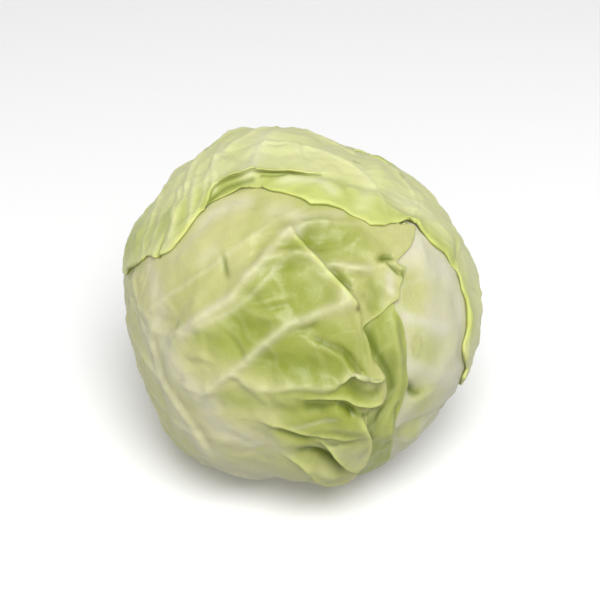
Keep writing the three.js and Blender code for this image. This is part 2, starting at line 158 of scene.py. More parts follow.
def nearest(places, path, reach=FAR):
    """For each place: distance to the path in mm, its value, its share along, and the hand it is on.

    Places further than reach get that distance and the value 0.
    """
    count = len(places)
    distance = np.full(count, float(reach))
    value = np.zeros(count)
    along = np.zeros(count)
    hand = np.ones(count)
    middle = unit(path.at.mean(axis=0))
    spread = np.linalg.norm(path.at - middle, axis=1).max() + reach / HEAD_RADIUS
    near = np.flatnonzero(np.linalg.norm(places - middle, axis=1) < spread)
    if len(near) == 0:
        return distance, value, along, hand
    best = distance[near]
    best_value, best_along, best_hand = value[near], along[near], hand[near]
    for i, span, share, across in path.spans(places[near]):
        apart = np.linalg.norm(across, axis=1) * HEAD_RADIUS
        closer = apart < best
        if not closer.any():
            continue
        best = np.where(closer, apart, best)
        value_here = path.value[i] + share * (path.value[i + 1] - path.value[i])
        along_here = path.along[i] + share * (path.along[i + 1] - path.along[i])
        best_value = np.where(closer, value_here, best_value)
        best_along = np.where(closer, along_here, best_along)
        side = np.sign(across @ np.cross(span, path.at[i]))
        best_hand = np.where(closer, np.where(side == 0, 1, side), best_hand)
    distance[near], value[near], along[near], hand[near] = best, best_value, best_along, best_hand
    return distance, value, along, hand


def smooth(edge0, edge1, x):
    share = np.clip((x - edge0) / (edge1 - edge0), 0, 1)
    return share * share * (3 - 2 * share)


def bell(distance, width):
    return np.exp(-(distance / width) ** 2)


def blend(first, second):
    """Two masks laid over each other."""
    return 1 - (1 - first) * (1 - second)


class Ripple:
    """Soft even noise over the head: a sum of plane waves in seeded directions."""

    def __init__(self, seed, size, waves=28):
        draw = np.random.default_rng(seed)
        self.waves = unit(draw.normal(size=(waves, 3))) * (2 * math.pi / size)
        self.waves *= draw.uniform(0.7, 1.3, size=(waves, 1))
        self.start = draw.uniform(0, 2 * math.pi, waves)
        self.scale = math.sqrt(2 / waves)

    def __call__(self, places):
        return np.cos(places * HEAD_RADIUS @ self.waves.T + self.start).sum(axis=1) * self.scale


# ---- the shared form of the head ----
HOLLOW_PATHS = [(Path(path), width) for path, width in HOLLOWS]


def nominal_radius(places):
    share = np.ones(len(places))
    for azimuth, elevation, amount, width in SHOULDERS:
        angle = np.degrees(np.arccos(np.clip(places @ direction(azimuth, elevation), -1, 1)))
        share += amount * bell(angle, width)
    return HEAD_RADIUS * share


def bed_radius(places):
    radius = nominal_radius(places) - HEART_DEPTH
    for path, width in HOLLOW_PATHS:
        distance, value, _, _ = nearest(places, path, 3 * width)
        radius -= value * bell(distance, width)
    return radius


# ---- the wrapper leaves, from the inside out ----
# Each has a midrib and two margins, from the stem to the tip. Its relief, in millimetres, is a list of
# paths of (azimuth, elevation, height): ridges with a half width and how pale they are, dents with a
# half width and how much painted shade greens them, and folds, which rise over `run` and drop over
# `fall` on one hand of their path, with the lip leaning out by `lean` and painted shade at the foot by
# `shade`; each fold's lip also gets a painted highlight. Tones are paths with a half width and how
# green (+) or white (-) they are: partly the leaf's own colour, partly painted shade in hollows and
# painted light on lit bulges. The deep-shade paths that follow them are the same for painted deep shade
# in crevices and under margins. Veins are the side veins on each hand of the midrib. `green` is the
# path and reach of the greenest part of the blade, `lift` how far the margin is raised and how much
# that sways, and `arch` bows the rows of the mesh to the tip.
LOWER_LEAF = dict(
    node="lower_leaf", finish="pale", grid=(110, 110), lift=(0.0, 0.3),
    midrib=[(36, LEAF_FOOT), (38, -50), (42, -25), (46, 0), (50, 25), (52, 44)],
    left=[(10, LEAF_FOOT), (2, -55), (-4, -30), (-6, 0), (2, 25), (25, 42), (45, 47)],
    right=[(65, LEAF_FOOT), (84, -50), (94, -25), (98, 0), (92, 25), (76, 40), (60, 47)],
    ridges=[
        ([(36, LEAF_FOOT, 2), (38, -50, 2.4), (42, -30, 1.2), (46, -10, 0.6)], 6, 0.7),
        ([(40, -45, 1.0), (52, -32, 1.0), (66, -24, 0.4)], 4, 0.5),
    ],
    dents=[
        ([(33, -12, 0.8), (35, -21, 0.8)], 1.2, 0.6),
        ([(29.8, -13, 0.6), (33, -20, 0.9)], 1.2, 0.6),
    ],
    tones=[
        ([(36.2, -20.2), (40, -18.4), (45.9, -18.1)], 5, 0.35),
    ],
    green=([(40, -16), (44, -22), (52, -24)], 12),
)

RIGHT_LEAF = dict(
    node="right_leaf", finish="pale", grid=(150, 200), lift=(-0.7, 0.08), vein_height=0.3, arch=6.0,
    midrib=[(98, LEAF_FOOT), (98, -50), (100, -25), (102, 0), (100, 25), (95, 45), (90, 58)],
    left=[
        (58, LEAF_FOOT), (66, -58), (70, -44), (70, -34), (66, -24.5), (59, -17.8), (52, -15),
        (45.7, -13.4), (39, -12.4), (33.9, -11.9), (28, -11), (21, -7), (12, 2), (8, 15), (12, 30),
        (22, 45), (45, 58), (80, 62)],
    right=[
        (136, LEAF_FOOT), (152, -50), (164, -25), (170, 0), (168, 25), (152, 45), (125, 57), (100, 62)],
    ridges=[
        ([(98, LEAF_FOOT, 2.4), (98, -50, 3), (100, -25, 2), (102, 0, 1), (100, 25, 0.5)], 7, 0.8),
        ([(57, -6.9, 0.5), (47.1, 2.7, 0.7), (40.4, 8.6, 0.8), (34.6, 12.1, 0.7)], 4, 0.6),
        ([(59.6, 11.6, 0.3), (49.4, 18, 0.6), (43.1, 22.2, 0.7), (36.6, 26, 0.5)], 3, 0.6),
        ([(65.1, 24.4, 0.3), (60.1, 31.4, 0.5), (52.4, 36.4, 0.6), (45.5, 39, 0.4)], 3.5, 0.6),
        ([(33, -1.4, 0.4), (39.2, -2.5, 0.8), (45.9, -3.4, 0.6)], 2.5, 0.3),
    ],
    dents=[
        ([(31.7, 7.8, 1), (35.6, 2.4, 3), (37, -0.1, 3.6), (38.3, -1, 2.6), (40.3, -0.9, 0.8)], 1.7, 1.0),
    ],
    tones=[
        ([(59.6, 43.1), (61.2, 37.9), (63.5, 30.6)], 7, -0.8),
        ([(36.7, 25.4), (43.4, 21.8), (51.5, 16.4)], 3, -0.8),
        ([(34.5, 10.8), (41.2, 5.3), (51.8, -2.1)], 4, -0.7),
        ([(64.1, 19.6), (59.6, 8), (57.3, -5.4)], 3, -0.6),
        ([(40.6, 29.8), (44.6, 32.2), (54.2, 27.8)], 6, 0.4),
        ([(39.2, 18.3), (38.4, 16), (37.4, 13.1)], 2.2, 0.9),
        ([(44.5, 11.5), (50.9, 10.6)], 5, 0.35),
        ([(33, -0.6), (42, -5.7), (49.2, -7.2)], 4, 0.5),
        ([(49.3, 42.5), (56.1, 43.7)], 4, -0.6),
    ],
    darks=[
        ([(34.4, 4.4), (36.6, 0.9), (37.6, -0.6), (38.8, -1)], 1.3, 0.95),
        ([(69.5, 25.9), (68.8, 23.7)], 1.0, 0.6),
    ],
    veins={
        -1: [
            [(98, -42), (86, -32), (76, -27)],
            [(99, -20), (82, -12), (66, -4), (50, 0), (38, 3)],
            [(101, 0), (84, 8), (66, 14), (50, 17), (36, 20)],
            [(101, 20), (84, 27), (68, 31), (52, 33), (38, 35)],
            [(97, 38), (80, 44), (62, 46), (44, 46)],
        ],
    },
    green=([(44, 34), (42, 28), (40, 18), (42, 4), (42, -6)], 9),
)

UNDER_LEAF = dict(
    node="under_leaf", finish="deep", grid=(180, 130), lift=(-0.1, 0.3),
    midrib=[(6, LEAF_FOOT), (6, -50), (5, -25), (4, 0), (5, 25), (8, 44)],
    left=[(-20, LEAF_FOOT), (-34, -50), (-42, -25), (-44, 0), (-38, 25), (-20, 42), (0, 49)],
    right=[
        (32, LEAF_FOOT), (36, -52), (36.5, -38), (32.3, -19.1), (30.2, -11.7), (30.2, -7), (31, -3.6),
        (31.9, -1.3), (32.7, 1.5), (33.7, 4.9), (34, 9), (34.2, 11.6), (34.1, 15.2), (34.7, 18.5),
        (35, 21.9), (34.6, 25.4), (33, 28.9), (33, 32), (28, 38), (18, 46)],
    ridges=[
        ([(6, LEAF_FOOT, 2), (6, -50, 2), (5, -30, 0.8)], 6, 0.6),
        ([(31, 30.9, 0.8), (31.1, 27.1, 1.4), (30.8, 23.1, 1.8), (30.4, 19.1, 2), (30.8, 14.6, 2.2),
          (30.6, 10.1, 2.2), (29.9, 5.5, 2.2), (28.9, 1.7, 2), (27.2, -2, 1.6), (25.6, -7.6, 1.2),
          (26.5, -16.4, 0.8)], 2.6, 0.35),
        ([(29.7, -4, 0.4), (27.8, -7, 1), (28.6, -14.6, 0.8)], 1.6, 0.3),
    ],
    dents=[
        ([(21.5, 25.7, 1.2), (22.8, 23, 2.4), (23.9, 19.2, 3.4), (25.8, 14.9, 3.6), (27.5, 10.3, 3.4),
          (28.3, 5.3, 2.8), (27, 1.1, 2), (24.7, -2.5, 1.8), (22.5, -5.4, 1.6)], 2.4, 1.0),
        ([(29.8, -0.3, 0.6), (29.7, -4.8, 1.2), (30.2, -9.9, 0.8)], 1.0, 0.7),
    ],
    tones=[
        ([(27, 20), (28.7, 14.7), (29.2, 8.7)], 2.5, 0.5),
        ([(28.2, 27.2), (26.3, 24.6), (25.1, 22.5)], 4, 0.4),
    ],
    darks=[
        ([(21.6, 24.8), (22.4, 21.7), (24, 18.2), (26.1, 14.2), (28, 10.1), (28.3, 6)], 1.7, 0.8),
        ([(17.2, 2.8), (18.8, -0.9)], 1.2, 0.5),
        ([(22.5, 1.6), (24, 0), (23, -4)], 1.8, 0.6),
    ],
    green=([(26, 26), (29, 10), (27, -8), (30, -30)], 26),
)

FRONT_LEAF = dict(
    node="front_leaf", finish="front", grid=(320, 290), lift=(0.0, 0.35), vein_height=0.4,
    midrib=[
        (-20, LEAF_FOOT), (-20, -60), (-22, -42), (-26, -30), (-31, -20), (-38, -11), (-43, -3), (-50, 5),
        (-56, 11), (-62, 17), (-70, 30), (-78, 46), (-82, 60)],
    left=[
        (-75, LEAF_FOOT), (-95, -60), (-107, -45), (-116, -25), (-123, -5), (-126, 15), (-122, 35),
        (-112, 54), (-95, 64)],
    right=[
        (6, LEAF_FOOT), (4, -62), (5, -52), (9, -47), (14, -44), (18, -39), (20.5, -32), (21.8, -26),
        (22.8, -20.2), (23, -15), (22.2, -10), (20.4, -5), (20.2, -2), (21, 0.5), (23.6, 2), (26, 3.6),
        (27.2, 6), (27.1, 7.6), (26, 11.7), (24.6, 14.7), (22.8, 18), (21.9, 20.9), (21.1, 24),
        (20.2, 26.5), (22.7, 27.8), (25.4, 28.6), (28.7, 29.6), (31.7, 31.1), (35.4, 32.1), (36.9, 34.1),
        (38.9, 35.7), (40.9, 37.3), (43.5, 39), (40.6, 41.4), (45.5, 42.6), (50.5, 43.5), (55.4, 44.7),
        (58.8, 46.1), (60.8, 47.3), (54, 52), (57, 55), (54, 60), (45, 67), (0, 75), (-55, 72)],
    ridges=[
        ([(-20, LEAF_FOOT, 1.2), (-20, -60, 1.6), (-22, -42, 1.4), (-26, -30, 1.0), (-31, -20, 0.8),
          (-38, -11, 0.7), (-43, -3, 0.6), (-50, 5, 0.5), (-56, 11, 0.4), (-62, 17, 0.3)], 7, 0.4),
        ([(-57.7, 12.5, 0.2), (-55, 7.2, 0.3), (-50.3, 0.7, 0.4), (-43.7, -4, 0.5), (-39.3, -8, 0.5),
          (-35.2, -12.5, 0.5), (-31.5, -20.2, 0.5), (-29, -30, 0.3)], 2.2, 0.7),
        ([(-45.7, 15.6, 0.4), (-39.8, 20.1, 0.8), (-35.5, 24.7, 1), (-32.3, 28.5, 1.2),
          (-28.4, 31.6, 1.3), (-24.8, 34.7, 1.4), (-23, 38.5, 1.5), (-20.1, 41.7, 1.6),
          (-17.5, 45.6, 1.6), (-15.2, 49.7, 1.6), (-11.8, 53.6, 1.6), (-6.1, 56.3, 1.4)], 3.0, 0.7),
        ([(-4.9, 58.1, 1.8), (1.7, 59.2, 1.4), (8.9, 60.1, 1.1), (16.8, 60.3, 0.8),
          (27, 61, 0.4)], 3.0, 0.5),
        ([(-17.6, 44.7, 0.3), (-12.7, 48.2, 0.9), (-6.6, 49.9, 1.1), (0, 49, 1.2),
          (5.7, 47.6, 1.1)], 2.6, 0.55),
        ([(-29.1, 3.7, 0.2), (-24.9, 8.7, 0.4), (-20.9, 12.7, 0.7), (-17.6, 15.5, 0.9),
          (-14.9, 18.8, 1.0), (-12.2, 22, 1.1), (-9.3, 24.9, 1.2), (-6.2, 27.4, 1.2), (-3.2, 29.2, 1.3),
          (1, 30.6, 1.3), (5.1, 31.9, 1.3), (9.6, 33.3, 1.3), (13.7, 33.9, 1.2),
          (16.7, 34.1, 0.8)], 3.2, 0.4),
        ([(-20.2, 12.4, 0.4), (-17.4, 12.4, 0.5), (-14.3, 10.3, 0.6), (-10.8, 8.9, 0.7), (-7, 10, 0.8),
          (-2.8, 11.3, 1.0), (1.4, 11.8, 1.3), (5.5, 12.2, 1.7), (9.5, 12.4, 2.0)], 1.7, 0.15),
        ([(-19.2, 11.4, 0.2), (-14.6, 8.4, 0.35), (-10.2, 5.4, 0.2)], 1.6, 0.2),
        ([(2.2, 2.1, 0.3), (6.2, 1.9, 0.7), (10.2, 1.1, 0.8), (14.3, -0.6, 0.4)], 3.4, 0.1),
        ([(12.3, 13.6, 2), (14.7, 15.3, 2.4), (17.4, 13.8, 2.6), (19.4, 12.3, 2.6),
          (22.1, 11.3, 2.4)], 1.8, 0.6),
        ([(0.8, -3.2, 0.3), (4.8, -2.5, 0.7), (8.5, -2.3, 1.0), (13.8, -3.1, 1.1),
          (17.3, -4.3, 0.7)], 2.4, 0.3),
        ([(0, 26.3, 0.4), (3.7, 23.4, 0.8), (7.8, 22.6, 1), (11.8, 20.3, 0.8)], 2.2, 0.1),
        ([(-21.3, 34.5, 0.3), (-16.9, 34.3, 0.6), (-11.3, 35.7, 0.7), (-5.8, 36.7, 0.4)], 1.6, 0.3),
        ([(-15.2, 30.7, 0.3), (-10.6, 30.6, 0.6), (-6, 31, 0.4)], 1.8, 0.2),
        ([(-35.5, 13.1, 0.3), (-31.4, 15, 0.6), (-27.2, 14.7, 0.4)], 1.6, 0.4),
        ([(-1.2, -16.5, 0.4), (2.5, -19, 0.8), (7, -22.5, 1.4), (10.4, -26, 1.6), (14.6, -28.1, 1.6),
          (18.5, -28.5, 0.8)], 1.8, 0.3),
        ([(8.6, 44.8, 0.4), (15.2, 46, 0.9), (20.3, 44.5, 1.1), (26.3, 42.9, 0.9),
          (32.2, 41.8, 0.5)], 2.0, 0.5),
        ([(17.9, 34.8, 0.6), (21.7, 32.6, 0.8), (22.6, 30.2, 0.6)], 2.4, 0.3),
        ([(37.5, 41.1, 0.6), (39.5, 41.7, 1)], 1.4, 0.2),
        ([(34.4, 42.1, 0.8), (35.7, 40.2, 1.2), (37.3, 38.3, 1.2), (38.6, 36.9, 0.8)], 1.5, 0.3),
        ([(39.1, 40.2, 0.8), (40.6, 38.9, 1.2), (40, 37.2, 0.8)], 1.2, 0.1),
    ],
    dents=[
        ([(-53.1, 11.4, 0.2), (-49.7, 7.2, 0.3), (-45.6, 2.5, 0.4), (-42, -1.2, 0.4), (-37.3, -5, 0.4),
          (-33, -11.1, 0.4), (-28.8, -17.9, 0.3)], 2.6, 0.0),
        ([(-36, 46.1, 0.5), (-34.1, 44.4, 1.2), (-32.2, 42.3, 1.3), (-29.3, 40.1, 0.5)], 1.3, 0.9),
        ([(1.6, 57.4, 0.8), (4.8, 55.6, 1.6), (8.1, 52.7, 1.4), (10.5, 49.7, 0.6)], 4.0, 0.7),
        ([(8, 58.1, 0.6), (14.2, 55.9, 1), (19.7, 53.7, 0.6)], 4.0, 0.5),
        ([(11.1, 44.7, 0.8), (14.2, 44, 1.6), (16, 41.2, 1.9), (17.6, 38.5, 1.4)], 1.8, 1.0),
        ([(19.6, 42.6, 0.6), (23.5, 41.4, 1.1), (27.8, 40.4, 0.5)], 1.3, 0.8),
        ([(28, 37.9, 0.6), (28.5, 34.3, 0.9), (26.8, 31.7, 0.6)], 3.5, 0.8),
        ([(33.9, 44.1, 1), (37, 44.2, 2.2), (38.9, 43.6, 1.6)], 1.4, 1.0),
        ([(36.8, 42.3, 0.9), (37.4, 40.6, 1.5), (39, 38.7, 1.6), (40.1, 37.9, 1.6)], 1.2, 0.9),
        ([(-12.2, 45.2, 0.6), (-6.7, 46.1, 1.2), (-0.8, 46.2, 0.8)], 2.6, 0.9),
        ([(-11.5, 52.7, 0.5), (-6.8, 52.7, 0.9), (-1.4, 51.2, 0.5)], 2.0, 0.7),
        ([(-19.8, 36.5, 0.6), (-15.9, 35.9, 1.2), (-12.4, 37.4, 0.6)], 2.2, 0.9),
        ([(-13.8, 32.9, 0.5), (-8.8, 33.9, 1), (-3.6, 35.4, 0.6)], 1.4, 0.8),
        ([(-22.7, 28.9, 0.8), (-19.2, 27.1, 1.3), (-14.6, 26.6, 1.3), (-11.2, 28.2, 0.6)], 4.0, 1.0),
        ([(-24.2, 23.8, 0.4), (-20.7, 21.7, 0.9), (-18.1, 19.6, 1.1), (-17, 17.3, 0.6)], 2.0, 0.8),
        ([(0, 39.1, 0.4), (5.9, 40.1, 0.8), (10.9, 36.2, 0.8)], 4.0, 0.6),
        ([(-2.6, 27.3, 0.6), (1, 27.6, 1.3), (4.2, 28.5, 0.9)], 1.8, 0.9),
        ([(4.1, 25.9, 0.4), (6.3, 24.7, 1.2), (8.9, 23.3, 1.8), (11.5, 22, 2), (14.2, 20, 2.4),
          (16.6, 17.7, 2.4), (18.6, 15.5, 2), (20.3, 13.7, 1)], 1.7, 0.9),
        ([(-11.8, 18.9, 1), (-8.8, 17.6, 1.8), (-3, 17.5, 1.6), (3.6, 17, 1.3),
          (9.3, 16.6, 0.8)], 4.2, 1.0),
        ([(13.5, 13.3, 0.8), (16.1, 9.9, 2), (18.4, 8.2, 2.2), (20.9, 7.6, 1.8),
          (23.4, 8.1, 0.8)], 1.8, 0.9),
        ([(-23.6, 4.4, 0.2), (-19.3, 3.4, 0.5), (-14.9, 3.6, 0.5), (-11.7, 3.5, 0.3)], 3.6, 0.8),
        ([(-19.1, 9.2, 0.1), (-15.5, 6.7, 0.2), (-12.4, 4.9, 0.2), (-10.2, 3.4, 0.1)], 2.0, 0.4),
        ([(1.4, 4.5, 0.8), (3.4, 4, 1.7), (6.3, 4.2, 1.6), (8.7, 4.8, 0.8)], 1.8, 0.9),
        ([(12, 5, 1.6), (13.8, 3.3, 2.8), (14.6, 2.2, 2.6)], 1.6, 1.0),
        ([(-6.8, 4.1, 0.5), (-3.4, 2.9, 0.9), (-0.6, 3.1, 0.6)], 2.8, 0.7),
        ([(-8.2, -3.9, 0.5), (-4, -5.2, 1.0), (0, -6.5, 1.3), (3.1, -7.4, 0.7)], 1.6, 1.0),
        ([(6.3, -7.6, 0.5), (10.5, -9.4, 1.0), (14.7, -9.6, 0.6)], 1.1, 0.8),
        ([(0, -12.2, 0.6), (2.3, -12.6, 1.8), (5, -14.4, 3.0), (8.2, -17.2, 3.6), (11.2, -20.6, 3.4),
          (14.6, -25, 2.0)], 2.1, 1.0),
        ([(-47.2, 30.7, 0.3), (-41.8, 35.8, 0.6), (-39.9, 39.8, 0.4)], 4.0, 0.4),
        ([(-53.3, 17.7, 0.3), (-49.6, 19, 0.7), (-44.9, 20.4, 0.4)], 2.4, 0.5),
        ([(-34.3, 20.6, 0.4), (-28.6, 20.9, 0.8), (-23.6, 20.4, 0.6)], 3.0, 0.6),
        ([(-37.8, 11.2, 0.3), (-34.9, 11.9, 0.6), (-32.1, 13, 0.4)], 2.2, 0.4),
        ([(19.9, -4.8, 0.6), (21, -8.3, 1), (22.4, -12.3, 0.6)], 1.0, 0.6),
    ],
    tones=[
        ([(-55.4, 51.7), (-54.8, 56), (-49.8, 60.2), (-41.2, 63.5)], 4.5, -0.9),
        ([(-54.6, 46.8), (-56.2, 42.5), (-59.5, 37.6)], 3.5, -0.6),
        ([(-68.4, 29), (-59.4, 25.6), (-53.7, 22.7), (-54.5, 15.4)], 5, -0.8),
        ([(-40.4, 18.9), (-34.5, 25.6), (-30.2, 30.2), (-25.1, 34.6)], 2.8, -0.75),
        ([(-46.8, 12.6), (-42.1, 7.9), (-35.9, 3.8), (-29.5, 0.5), (-27.9, -5.8), (-21.9, -9),
          (-14.5, -12.5)], 7, -1.0),
        ([(-60, 12), (-55, 7), (-50, 0), (-44, -5), (-38, -11), (-32, -19)], 7, -1.0),
        ([(-28.1, 5.4), (-24.6, 9.4), (-20.4, 13), (-16.3, 16.8), (-12.2, 21.7), (-8, 25.6), (-3.2, 29.2),
          (1.6, 30.6), (9.6, 33.3), (16, 34.2)], 2.4, -0.4),
        ([(-7.1, 56.2), (-3.1, 57.1)], 3, -1.0),
        ([(4.6, 49.3), (8, 46.5), (10.9, 44.1)], 2.4, -0.8),
        ([(14.4, 37.1), (17.3, 35.4)], 2, -0.7),
        ([(34.6, 38.5), (33, 34.8)], 2.2, -1.0),
        ([(14.8, 46.4), (20.3, 44.5), (28.1, 42.6)], 2, -0.5),
        ([(-44.2, 41.1), (-40.5, 46.2)], 3, -0.5),
        ([(-13.4, 50.1), (-18, 44.7), (-21.3, 41.3)], 2.5, -0.6),
        ([(0, 62), (13.3, 63), (26.7, 62.2)], 3, -0.5),
        ([(13.6, 14.9), (15.8, 14.7), (20.2, 11.9)], 1.8, -0.7),
        ([(-2.2, -2.4), (3.3, -0.9), (9.6, 0.5)], 1.0, -0.4),
        ([(-11.9, -11.1), (-7.6, -11.6), (-3, -14.3)], 3, -0.4),
        ([(6.6, 56.4), (11.1, 52.9), (13.5, 48.8)], 4.5, 0.7),
        ([(18.7, 53.9), (23.9, 49.3), (28.5, 45.8)], 6, 0.35),
        ([(27.2, 38.1), (28.8, 34.2), (25.8, 31.3)], 4.5, 0.8),
        ([(22.5, 37.1), (22.3, 31.9)], 3, 0.4),
        ([(-14.4, 41.1), (-3.9, 43), (6.2, 42.9)], 5, 0.6),
        ([(-18, 35.6), (-10.3, 38.2), (-3.6, 36.2)], 5, 0.6),
        ([(3.7, 40.1), (9.6, 36.3), (12.8, 37)], 6, 0.7),
        ([(-21.8, 27.9), (-16.6, 26.3), (-11.6, 25.9)], 5, 0.9),
        ([(3.9, 29.4), (10, 28.6), (15.7, 29.7)], 5, 0.6),
        ([(-11.2, 17.2), (-3.1, 18.1), (5.9, 18.4), (12.7, 16.5)], 6, 0.95),
        ([(6.3, 25.8), (13.4, 23), (19.6, 18.9)], 6, 0.5),
        ([(-21.7, 4), (-16.3, 3.5)], 4.5, 0.6),
        ([(-32, 20), (-23.6, 20.4), (-18.4, 17.9)], 4, 0.6),
        ([(-6.8, 5.3), (-1.1, 3.7), (5.7, 3)], 5, 0.7),
        ([(12.3, 9.5), (17, 6.7), (22.3, 5.6)], 4, 0.6),
        ([(-6, -5), (1.2, -8.1)], 2.2, 0.8),
        ([(5.6, 0.4), (12.5, -0.5)], 3, 0.35),
        ([(-18.4, 63.5), (-10.5, 64), (-2, 62)], 5, -0.6),
        ([(-16, 8), (-8, 8.6), (2, 10.4)], 3, 0.5),
        ([(14, 34.5), (17, 31), (17, 26)], 3, 0.4),
        ([(9, -9), (12, -12), (17, -15), (20, -18)], 4, -0.4),
        ([(-2, -14), (4, -22), (9, -27), (14, -29)], 3, 0.5),
        ([(-21, 6), (-16, 4), (-12.6, 4)], 4, 0.5),
        ([(-47.6, 27.3), (-43.6, 33.3), (-40.2, 39)], 6, 0.4),
        ([(-32, 51.4), (-25.5, 55.1), (-22.5, 59.1)], 5, 0.3),
    ],
    darks=[
        ([(0.6, -12.2), (3.4, -13), (6.2, -14.6)], 1.8, 0.6),
        ([(6, -14.8), (8.2, -17.2), (11.2, -20.6), (14.6, -24.6)], 1.7, 0.95),
        ([(11.7, 5.3), (13.5, 3.6), (14.6, 2.2)], 1.3, 0.85),
        ([(2, 6.1), (6.3, 5.5), (10.5, 5.9)], 0.9, 0.6),
        ([(2.3, 4), (6.2, 4)], 1.6, 0.5),
        ([(15.2, 11.4), (17.3, 8.9), (19.8, 7.8), (22.4, 8)], 1.3, 0.4),
        ([(5, 25), (8.6, 23.2), (12.7, 21.1), (15.7, 18.3), (18.1, 15.8)], 1.1, 0.45),
        ([(12.1, 43.8), (15.4, 41.6), (17.6, 38.5)], 1.2, 0.5),
        ([(35.1, 44.1), (38.8, 43.5)], 1.0, 0.8),
        ([(40.8, 38.3), (39.8, 36.6)], 0.8, 0.8),
        ([(36.9, 41.3), (39, 38.7)], 0.9, 0.4),
        ([(-6, -4.6), (-2.5, -5.8), (2, -7.2)], 1.0, 0.5),
        ([(8.4, -8.8), (11.5, -9.6)], 0.8, 0.5),
        ([(14.5, 2.6), (17, 1), (19, 0), (21.5, 1.2)], 1.3, 0.8),
        ([(14.4, -17.8), (15, -17.6)], 1.3, 0.25),
        ([(-34.4, 45.2), (-30.6, 41)], 1.0, 0.45),
        ([(-84.1, 16.6), (-81, 21.3)], 1.2, 0.5),
        ([(3.3, 57.3), (9.1, 57.5)], 3.0, 0.15),
    ],
    folds=[
        dict(run=8, fall=2.6, side=-1, lean=1.0, shade=0.3, path=[
            (-5.3, 57.3, 1), (-2, 55.2, 2), (1.4, 52.8, 2.8), (4.3, 50, 3.2), (6.9, 47.8, 3.4),
            (9.5, 45.6, 3.6), (12.2, 42.9, 3.6), (14.4, 39.6, 3.6), (16.8, 36.8, 3.4), (18.4, 34.4, 3),
            (18.9, 31.7, 2.2), (19.2, 28.8, 1)]),
        dict(run=7, fall=2.2, side=1, lean=3.2, shade=0.5, path=[
            (10, 12.1, 0.4), (12.5, 13.2, 1.6), (14.7, 14.5, 2.6), (16.8, 13.4, 3.2), (19.2, 11.9, 3.6),
            (21.4, 11.1, 3.8), (24.6, 11, 2.6)]),
        dict(run=6, fall=2.0, side=1, lean=2.6, shade=0.6, path=[
            (0.6, 7.5, 0.5), (3.6, 7.6, 1.8), (7.1, 7.9, 2.4), (10.7, 7.4, 2.6), (13.2, 6.7, 2.6),
            (15.1, 5, 2.8), (17.7, 4, 3), (20.6, 3.3, 3), (23.5, 3.5, 2.2)]),
        dict(run=4, fall=1.5, side=1, lean=1.0, shade=0.6, path=[
            (-12.3, -2.4, 0.3), (-8.8, -2.3, 1.0), (-4.2, -3, 1.6), (-0.9, -4.2, 1.9), (1.4, -4.9, 1.9),
            (4.9, -5.5, 1.6), (9.2, -6.4, 1.5), (13.7, -7.6, 1.4), (17.7, -7.8, 0.9),
            (21.1, -7.6, 0.3)]),
        dict(run=4, fall=1.2, side=-1, lean=0.6, shade=0.3, path=[
            (17.2, 1.5, 0.4), (17.6, -0.6, 1.2), (19, -4, 1.8), (21, -9.4, 2.0), (22.2, -14.6, 1.8),
            (22, -20, 1.0)]),
        dict(run=7, fall=2.4, side=1, lean=2.4, shade=0.7, path=[
            (4.6, -8.2, 0.5), (6.1, -8.8, 1.6), (8.3, -11.2, 3.0), (10.8, -15.6, 3.8), (13.5, -19.6, 3.8),
            (16.8, -23.2, 3.2), (20, -24.2, 1.8), (22, -22.4, 0.8)]),
        dict(run=5, fall=2.6, side=1, lean=2.8, shade=0.3, path=[
            (-4.9, -14.6, 0.3), (-2.1, -16.2, 1.2), (0.3, -18.4, 2.0), (2.6, -22.4, 2.7),
            (4.8, -26.6, 3.1), (7.7, -31.4, 3.3), (12.2, -34.6, 3.1), (16.5, -32.8, 2.5),
            (19.6, -31, 1.2)]),
    ],
    veins={
        1: [
            [(-60, 16), (-52, 27), (-44, 35), (-37, 43), (-26, 53), (-14, 61), (4, 66)],
            [(-55.3, 13.7), (-46, 16.1), (-35.5, 24.7), (-24.8, 34.7), (-17.5, 45.6), (-6.1, 56.3),
             (8.9, 60.1), (33.9, 56.4), (51.4, 51.1)],
            [(-47.3, 10.1), (-36, 22.1), (-27.6, 27.9), (-21.7, 32.7), (-14.2, 40), (-4.3, 49.2),
             (5.7, 47.6)],
            [(-36.5, 3), (-29.1, 3.7), (-20.9, 12.7), (-12.2, 22), (-3.2, 29.2), (9.6, 33.3), (16.7, 34.1)],
            [(-32, -0.1), (-20.7, 12.2), (-14, 9.1), (-2.8, 11.3), (9.5, 12.4), (14.7, 15.1), (22.4, 11.2)],
        ],
    },
    green=([(6.6, 56.4), (0, 44.7), (-7.1, 36.1), (-13.2, 26.8), (0, 18.8), (8.5, 13.4),
            (8.5, -3.3)], 24),
)

